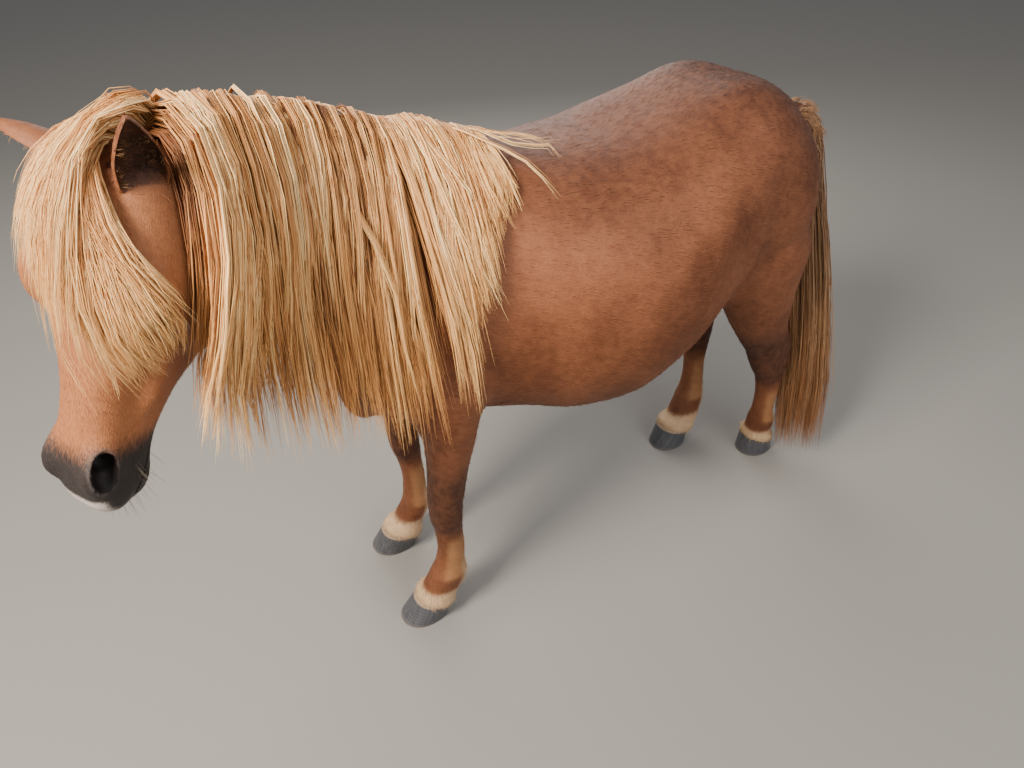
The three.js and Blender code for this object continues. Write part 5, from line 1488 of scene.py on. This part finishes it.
def mane_piece(name, seed, lift, sideways, shades, spread, locks, hairs, shorter):
    """One layer of the mane: how high it lies, where on the crest it grows, and how fine it is."""
    random = np.random.default_rng(seed)
    n = locks
    share = (np.arange(n) + random.random(n)) / n
    y = MANE["start"] + (MANE["end"] - MANE["start"]) * share
    across = sideways + 16 * (random.random(n) - 0.5)
    roots = crest(y, across)
    wander = np.where(y < 0, 40, 8) * (random.random(n) - 0.5)
    tips = np.stack([mane_tips[k](y + wander) for k in "xyz"], axis=1)
    tips[:, 0] += 0.4 * lift + 8 * random.random(n)
    tips[:, 1] += 20 * (random.random(n) - 0.5)
    tips = tips + (roots - tips) * (shorter * random.random(n) ** 1.5)[:, None]
    backwards = 0.85 * ramp(-215, -272, y) + 0.3 * (random.random(n) - 0.5)
    upwards = 0.9 - 0.3 * ramp(-215, -272, y) - 0.4 * ramp(-20, 120, y)
    leaves = np.stack([0.85 - lift * 0.01 + 0 * y, backwards, upwards], axis=1)
    lifts = (lift + 6 + 9 * random.random(n)) * mane_rise(y)
    laid = swayed(lay_locks(roots, leaves, tips, lifts, hair_bed, stiff=0.2), 13, random)
    spreads = tapering(spread * (0.5 + 1.3 * random.random(n) ** 2), [0, 0.12, 0.5, 1], [0.5, 1, 0.62, 0.22])
    shaded = shades[0] + (shades[1] - shades[0]) * random.random(n)
    # painted shade: the locks over the middle of the neck are darkened
    shaded -= 0.3 * ramp(-215, -150, y) * ramp(40, -30, y)
    places = np.stack([share * 0.9 + 0.03, 0.5 + across / 120], axis=1)
    hair_piece(name, laid, spreads, places, shaded, flaxen, Hairs_in_a_lock=hairs, Seed=seed)


# the lower layers are darker than the top one: browner underhair, and painted shade in the gaps between the
# top locks
mane_piece("mane_under", 11, 3, 12, (-0.15, 0.25), 12, 155, 14, 0.3)
mane_piece("mane_middle", 12, 11, -4, (0.05, 0.85), 7.0, 130, 24, 0.25)
mane_piece("mane_top", 13, 19, -16, (0.35, 1.2), 4.8, 118, 26, 0.4)

random = np.random.default_rng(17)
n = 46  # short wisps, on the right of the crest
share = (np.arange(n) + random.random(n)) / n
roots = crest(-270 + 440 * share, -16 - 10 * random.random(n))
reach = 30 + 75 * random.random(n) ** 2
tips = roots + np.outer(reach, (-0.55, 0.35, -0.8))
laid = lay_locks(roots, np.tile((-0.4, 0.5, 0.7), (n, 1)), tips, 3 + 5 * random.random(n), hair_bed)
laid = swayed(laid, 5, random)
hair_piece(
    "mane_wisps_right", laid, tapering(np.full(n, 9), [0, 0.3, 1], [1, 0.8, 0.4]),
    np.stack([0.03 + 0.9 * np.arange(n) / n, np.full(n, 0.2)], axis=1), random.random(n), flaxen,
    Hairs_in_a_lock=13, Seed=17, Hair_radius=0.0006,
)

# a few loose strands cross the mane by themselves and fall over the withers
STRANDS = [
    [(120, -200, 1090), (208, -262, 700)], [(70, -80, 1050), (212, -30, 640)],
    [(30, 20, 1010), (222, 62, 590)], [(10, 70, 985), (196, 122, 760)], [(4, 120, 970), (120, 250, 850)],
    [(0, 150, 960), (80, 285, 880)], [(0, 160, 958), (60, 300, 905)],
]
n = len(STRANDS)
roots, tips = np.array(STRANDS, float).transpose(1, 0, 2)
roots = drawn_onto(flesh, roots, 6)
laid = lay_locks(roots, np.tile((0.8, 0.2, 0.7), (n, 1)), tips, np.full(n, 20.0), hair_bed)
laid = swayed(laid, 14, random)
hair_piece(
    "mane_strands", laid, tapering(np.full(n, 2.2), [0, 0.3, 1], [1, 1, 0.5]),
    np.stack([0.1 + 0.1 * np.arange(n), np.full(n, 0.9)], axis=1), np.full(n, 0.9), flaxen,
    Hairs_in_a_lock=14, Seed=18,
)

FORELOCK = {"start": -46, "end": 54, "locks": 165, "hairs": 19}
forelock_tips = table(
    ["left", "face", "brow"],
    [
        [-46, -58, 78, -10],
        [-24, -37, 116, 2],
        [-14, -18, 160, 3],
        [-4, 4, 190, 2],
        [5, 32, 196, -5],
        [14, 48, 226, -24],
        [22, 58, 256, -52],
        [30, 66, 244, -67],
        [38, 76, 220, -77],
        [54, 92, 186, -73],
    ],
)
random = np.random.default_rng(5)
n = FORELOCK["locks"]
share = (np.arange(n) + random.random(n)) / n
x = FORELOCK["start"] + (FORELOCK["end"] - FORELOCK["start"]) * share
back = random.random(n) ** 0.8 * (1 - 0.72 * ramp(4, 30, x))
root_x = np.where(x > 8, 8 + 0.28 * (x - 8), x)
roots = from_head(np.stack([0.8 * root_x, 12 - 22 * back, -6 - 0.008 * root_x**2], axis=1))
across = neck_rows["across"](-300 + 40 * back) + 0.7 * root_x - 6 * back
behind = np.stack([across, -332 + 74 * back, np.full(n, 1104)], axis=1)
roots = drawn_onto(flesh, roots + (behind - roots) * ramp(0.15, 0.6, back)[:, None], 8)
tip_x = x + 16 * (random.random(n) - 0.5)
tips = np.stack([forelock_tips[k](tip_x) for k in ("left", "face", "brow")], axis=1)
tips[:, 2] += 6 * back
tips = from_head(tips)
tips = tips + (roots - tips) * (0.35 * random.random(n) ** 1.4)[:, None]
aside = ramp(0, 34, x)
leaves = np.stack([0.008 * x + 0.7 * aside, 0.3 + 0.3 * aside, 0.9 - 0.2 * aside], axis=1)
leaves = from_head(leaves) - HEAD_ORIGIN + np.outer(back, (0.1, -0.5, 0.95))
lifts = 3 + (34 * back + 6 * random.random(n)) * ramp(-56, 16, x) + 8 * back
falls = (0.35 - 0.27 * ramp(-2, 24, x))[:, None]
laid = swayed(lay_locks(roots, leaves, tips, lifts, hair_bed, stiff=0.26, fall=falls), 9, random)
spreads = tapering(8 * (0.6 + 0.8 * random.random(n)), [0, 0.15, 0.6, 1], [0.5, 1, 0.7, 0.22])
places = np.stack([share * 0.9 + 0.03, 0.1 + 0.8 * back], axis=1)
# the forelock's shades start higher than the mane's: a flaxen forelock, lightened further with painted
# sunlight
hair_piece(
    "forelock", laid, spreads, places, 0.5 + 0.65 * random.random(n), flaxen,
    Hairs_in_a_lock=FORELOCK["hairs"], Seed=5, Hair_radius=0.0006,
)

TAIL_END = {
    "middle": np.array([136, 974, 0.0]), "wide": np.array([34, 57, 0.0]), "deep": np.array([30, -18, 0.0]),
}
TAIL = {"locks": 160, "hairs": 19, "lowest": 26}
auburn = hair_finish(
    "auburn", (0.2, 0.105, 0.055), (0.38, 0.2, 0.095), (0.26, 0.09, 0.027), (0.52, 0.3, 0.14)
)


def on_dock(share, rows=DOCK):
    """A point, or a row of any other table, at a share of the dock's length."""
    at = np.linspace(0, 1, len(rows))
    return np.stack([np.interp(share, at, column) for column in np.transpose(rows)], axis=1)


random = np.random.default_rng(23)
n = TAIL["locks"]
down = random.random(n)
turn = 2 * np.pi * random.random(n)
out = (0.35 + 0.65 * (1 - down)) * np.sqrt(random.random(n) * 0.6 + 0.4)
turn = np.where(down < 0.25, -np.pi / 4 + (turn - np.pi) * 0.55, turn)
ways = np.cos(turn)[:, None] * TAIL_END["wide"] + np.sin(turn)[:, None] * TAIL_END["deep"]
leaves = unit(0.45 * unit(ways) + np.array([0, 0.1, -1.0]))
radius_at = np.interp(0.04 + 0.92 * down, np.linspace(0, 1, 5), DOCK_RADII)
roots = on_dock(0.04 + 0.92 * down) + unit(ways) * radius_at[:, None] * 0.8
tips = TAIL_END["middle"] + ways * out[:, None]
tips[:, 2] = TAIL["lowest"] + 110 * random.random(n) ** 2 * (1.4 - out)
lifts = 2 + 6 * random.random(n)
laid = swayed(lay_locks(roots, leaves, tips, lifts, flesh, stiff=0.14, drawn=0.25), 12, random)
spreads = tapering(9 * (0.6 + 0.8 * random.random(n)), [0, 0.15, 0.6, 1], [0.7, 1, 1, 0.35])
places = np.stack([0.05 + 0.9 * down, (turn / (2 * np.pi)) % 1 * 0.94 + 0.03], axis=1)
tail = hair_piece(
    "tail_hair", laid, spreads, places, random.random(n), auburn, Hairs_in_a_lock=TAIL["hairs"],
    Seed=23, Depth_share=0.8, Wave=0.02, Shortest=0.82,
)
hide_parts("tail")

random = np.random.default_rng(29)
n = 44  # short locks on top of the dock
down, turn = 0.5 * random.random(n) ** 0.8, np.pi * (random.random(n) - 0.5)
along_dock = unit(on_dock(down, unit(np.gradient(DOCK, axis=0))))
upwards = unit(np.cross(X_AXIS, along_dock))
upwards *= np.sign(upwards[:, 1:2] + upwards[:, 2:3])
away = np.sin(turn)[:, None] * X_AXIS + np.cos(turn)[:, None] * upwards
roots = drawn_onto(flesh, on_dock(down) + away * 24, 5)
reach = 20 + 20 * random.random(n)
tips = roots + (0.4 * away + along_dock) * reach[:, None] - np.outer(0.2 * reach, Z_AXIS)
leaves = 0.9 * away + 0.6 * along_dock
laid = lay_locks(roots, leaves, tips, 2 + 5 * random.random(n), flesh, fall=0.1)
hair_piece(
    "dock_hair", laid, tapering(np.full(n, 5), [0, 0.3, 1], [1, 1, 0.5]),
    np.stack([0.05 + 0.9 * down, turn / np.pi * 0.9 + 0.5], axis=1), 0.1 + 0.3 * random.random(n), auburn,
    Hairs_in_a_lock=9, Seed=29, Hair_radius=0.0005,
)

# Fine hairs of the face and ears
# Long feelers round the lips and eyes, lashes on the upper lids, and soft pale hair that
# fills the cup of each ear, all grown as the long hair is.
def seated(head_points):
    """Places on the hide nearest to points given in the head's frame."""
    return drawn_onto(hide, from_head(head_points), 6)


def fine_hairs(name, roots, leaves, length, spread, hairs, radius, finish, seed, droop, shades):
    """Short locks or single hairs that leave their roots a given way and droop a little."""
    random = np.random.default_rng(seed)
    n = len(roots)
    leaves = unit(leaves)
    size = length * (0.6 + 0.6 * random.random(n))
    t = STATIONS[None, :, None]
    paths = roots[:, None] + leaves[:, None] * size[:, None, None] * t
    paths = paths + np.array([0, 0, -droop]) * size[:, None, None] * t**2 - leaves[:, None] * 1.5
    along = unit(np.gradient(paths, axis=1))
    side = unit(np.cross(along, np.array([0.3, 0.2, 0.9])))
    hair_piece(
        name, (paths, side, np.cross(side, along)), tapering(np.full(n, spread), [0, 0.3, 1], [0.6, 1, 0.9]),
        np.stack([0.05 + 0.9 * np.arange(n) / n, np.full(n, 0.5)], axis=1), np.full(n, shades), finish,
        Hairs_in_a_lock=hairs, Hair_radius=radius, Seed=seed, Wave=0.004, Depth_share=0.8, Astray=0.004,
    )


random = np.random.default_rng(41)
feelers = hair_finish(
    "feelers", (0.05, 0.035, 0.03), (0.16, 0.12, 0.09), (0.34, 0.28, 0.22), (0.5, 0.42, 0.34)
)
n = 74
s = np.where(random.random(n) < 0.5, 1, -1)
down, below = 340 + 84 * random.random(n), random.random(n)
roots = seated(np.stack([s * (36 - 0.25 * np.maximum(down - 380, 0)), down, -78 - 46 * below], axis=1))
leaves = outward(hide, roots)[0] + 0.5 * HEAD_AXES[1] + 0.25 * (random.random((n, 3)) - 0.5)
fine_hairs("feelers_of_the_lips", roots, leaves, 28, 0, 1, 0.0002, feelers, 42, 0.35, 0.6)
n = 14
s = np.repeat((1, -1), n // 2)
start = [s * (84 + 6 * random.random(n)), 130 + 34 * random.random(n), -66 - 12 * random.random(n)]
roots = seated(np.stack(start, axis=1))
leaves = outward(hide, roots)[0] + 0.6 * HEAD_AXES[1]
fine_hairs("feelers_under_the_eyes", roots, leaves, 26, 0, 1, 0.00025, feelers, 43, 0.3, 0.6)

dark_hair = hair_finish(
    "dark_hair", (0.02, 0.01, 0.006), (0.03, 0.014, 0.008), (0.05, 0.022, 0.01), (0.08, 0.04, 0.02)
)
roots, leaves = [], []
for s in (1, -1):
    middle, look, corner, lid_up = eye_frame(s)
    for turn in np.linspace(0.12, 0.88, 34) * np.pi:
        upper = np.tan(0.5 * np.sin(turn) ** 1.25 + 0.06)
        way = unit(look + np.tan(0.8 * np.cos(turn)) * corner + upper * lid_up)
        roots.append(from_head(middle + way * (eye_size + 2.2)))
        leaves.append(from_head(way + 0.45 * lid_up + 0.25 * corner * np.cos(turn)) - HEAD_ORIGIN)
fine_hairs("lashes", np.array(roots), np.array(leaves), 13, 1.0, 3, 0.00022, dark_hair, 44, 0.25, 0.3)

ear_down = hair_finish(
    "ear_down", (0.1, 0.045, 0.02), (0.26, 0.13, 0.055), (0.46, 0.29, 0.15), (0.66, 0.48, 0.29)
)
roots, leaves = [], []
for pose in EAR_POSES.values():
    up, opens, across = ear_frame(pose)
    for _ in range(60):
        u, j = 0.06 + 0.66 * random.random() ** 1.2, 2 * random.random() - 1
        j = np.sign(j) * abs(j) ** 0.5
        half, back = EAR["width"] * ear_rows["width"](u), EAR["depth"] * ear_rows["depth"](u)
        deep = min(back * ear_rows["cup"](u) * 1.5, back * 1.45 - 3.2)
        lean = ear_rows["lean"](u) * EAR["length"] * 0.3
        forwards = 0.45 * back + 1.4 - math.sqrt(max(0, 1 - j * j)) * deep + lean
        place = up * u * EAR["length"] + across * j * (half - 3) + opens * forwards
        roots.append(np.asarray(pose["root"]) + place)
        leaves.append(0.55 * opens + 0.55 * up - 0.5 * across * j + 0.2 * (random.random(3) - 0.5))
fine_hairs("down_in_the_ears", np.array(roots), np.array(leaves), 15, 4, 7, 0.0002, ear_down, 45, 0.2, 0.3)

# Hooves
# Slate-coloured horn, ringed with growth, flaring to the ground from a soft coronet, pale just
# under the hair. The sole is a little hollow and a cleft parts the heels behind it.
horn, tree, surface = new_finish("horn", 0.42)
place = node(tree, "ShaderNodeTexCoord").outputs["Object"]
height = mask(tree, "height")
rise = maths(tree, "MULTIPLY", height, 46.0)
rings_at = maths(tree, "MULTIPLY_ADD", noise(tree, place, 18.0, 2.0), 5.0, rise)
ring_wave = maths(tree, "MULTIPLY_ADD", maths(tree, "SINE", rings_at), 0.5, 0.5)
streak = stretched(tree, place, (0, 0.45, 1), 12, 420)
colour = mixed(tree, span(tree, streak, 0.35, 0.7), (0.036, 0.036, 0.042), (0.08, 0.078, 0.082))
for share, over in (
    (span(tree, ring_wave, 0.2, 1.0, 0.0, 0.22), (0.12, 0.115, 0.115)),
    (span(tree, height, 0.16, 0.0, 0.0, 0.6), (0.17, 0.13, 0.1)),
    (span(tree, height, 0.93, 1.0, 0.0, 0.8), (0.4, 0.27, 0.17)),
):
    colour = mixed(tree, share, colour, over)
tree.links.new(colour, surface.inputs["Base Color"])
bump = node(tree, "ShaderNodeBump", {"Strength": 0.35, "Distance": 0.0005, "Height": ring_wave})
tree.links.new(bump.outputs[0], surface.inputs["Normal"])
HOOF_SIDES, SOLE_DEPTH, RINGS = 56, 4, 44


def slanted_ring(x, front, back, half, low_front, low_back, squareness=2.15):
    """A rounded ring of a hoof, as high as told at its front and at its back."""
    turn = 2 * np.pi * np.arange(HOOF_SIDES) / HOOF_SIDES
    c, d = np.cos(turn), np.sin(turn)
    reach = (back - front) / 2
    sideways = np.sign(c) * np.abs(c) ** (2 / squareness) * half
    along = -np.sign(d) * np.abs(d) ** (2 / squareness) * reach
    height = low_front + (low_back - low_front) * (along / reach + 1) / 2
    return np.stack([x + sideways, (front + back) / 2 + along, height], axis=1)


for name, shape in HOOVES.items():
    x, front, back, half = (shape[key] for key in ("x", "front", "back", "half"))
    rim_x, rim_front, rim_back = shape["rim"]
    rings = [slanted_ring(x, front + 1.5, back - 1.5, half - 1.5, 0, 0)]
    rings.append(slanted_ring(x, front, back, half, 1.5, 1.5))
    for t in np.linspace(0.06, 1, 26):
        swell = 0.8 * math.sin(t * math.pi) + 0.12 * math.sin(t * RINGS)
        bulb = 2.5 * ramp(0.35, 0.8, t) * ramp(1.02, 0.9, t)
        rings.append(
            slanted_ring(
                x + (rim_x - x) * t, front + (rim_front - front) * t - 0.18 * math.sin(t * RINGS),
                back + (rim_back - back) * t + bulb, half + (CORONET["half"] - 0.8 - half) * t - swell,
                1.5 + (CORONET["front"] - 1.5) * t, 1.5 + (CORONET["back"] - 1.5) * t,
            )
        )
    hoof = mesh_object(name + "_horn", *lofted(rings))
    sole = [
        slanted_ring(x, front + 10, back - 15, half - 9, -5, -5),
        slanted_ring(x, front + 14, back - 18, half - 13, SOLE_DEPTH, SOLE_DEPTH),
    ]
    cleft = [
        np.array([(x - 9, back + 8, -4), (x, back - 38, -4), (x + 9, back + 8, -4)], float),
        np.array([(x - 5, back + 8, 24), (x, back - 12, 15), (x + 5, back + 8, 24)], float),
    ]
    worked(hoof, [mesh_object("sole", *lofted(sole)), mesh_object("cleft", *lofted(cleft))], "DIFFERENCE")
    at = corners_of(hoof)
    high = np.interp(at[:, 1], [front, back], [CORONET["front"], CORONET["back"]])
    store(hoof.data, "height", np.clip(at[:, 2] / high, 0, 1))
    finished(hoof, horn, 40)
    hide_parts(name)
    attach(hoof, "root")

# Camera
# It stands where the photograph was taken from, to the pony's left and a little above it, and
# has the photograph's angle of view. Its place and turns were fitted to the hooves and the back.
FOCAL_PIXELS, PICTURE_WIDTH, SENSOR = 778.0973, 1024, 36.0
EYE_POINT = (1047.4589, -351.3143, 1397.2139)
YAW, PITCH, ROLL = 1.0560053, 0.6671683, -0.0243824
ahead = np.array([-math.sin(YAW) * math.cos(PITCH), math.cos(YAW) * math.cos(PITCH), -math.sin(PITCH)])
level = np.array([math.cos(YAW), math.sin(YAW), 0.0])
upright = np.cross(level, ahead)
right = level * math.cos(ROLL) + upright * math.sin(ROLL)
upright = upright * math.cos(ROLL) - level * math.sin(ROLL)
camera_data = bpy.data.cameras.new("camera")
camera_data.sensor_width = SENSOR
camera_data.lens = FOCAL_PIXELS * SENSOR / PICTURE_WIDTH
camera = placed("camera", camera_data)
camera.matrix_world = Matrix(
    [[*row, place] for row, place in zip(np.stack([right, upright, -ahead], axis=1), to_row(EYE_POINT))]
    + [[0, 0, 0, 1]]
)
bpy.context.scene.camera = camera

# Studio
# A plain pale floor under the hooves, a grey sky, and three soft lights: a warm one from ahead
# and above, and two that fill the shaded sides.
floor = placed("floor", bpy.data.meshes.new("floor"))
floor.data.from_pydata([(-8, -8, 0), (8, -8, 0), (8, 8, 0), (-8, 8, 0)], [], [(0, 1, 2, 3)])
floor_finish, tree, surface = new_finish("floor_finish", 0.9, Base_Color=(0.21, 0.195, 0.175, 1))
floor.data.materials.append(floor_finish)
world = bpy.data.worlds.new("studio")
world.use_nodes = True
sky = world.node_tree.nodes["Background"].inputs
sky["Color"].default_value, sky["Strength"].default_value = (0.85, 0.89, 0.95, 1), 0.42
bpy.context.scene.world = world


def area_light(name, place, size, power, colour):
    """A soft square light that shines on the middle of the pony."""
    data = bpy.data.lights.new(name, "AREA")
    data.size, data.energy, data.color = size, power, colour
    light = placed(name, data)
    spot = Vector(to_row(place))
    aim = Vector(to_row((0, 300, 600)))
    light.matrix_world = Matrix.Translation(spot) @ (aim - spot).to_track_quat("-Z", "Y").to_matrix().to_4x4()


area_light("key", (700, -1900, 2700), 1.0, 260, (1.0, 0.94, 0.85))
area_light("fill", (2600, 900, 2000), 2.2, 60, (0.95, 0.97, 1.0))
area_light("back", (-1900, 900, 1800), 2.0, 50, (1.0, 0.97, 0.93))
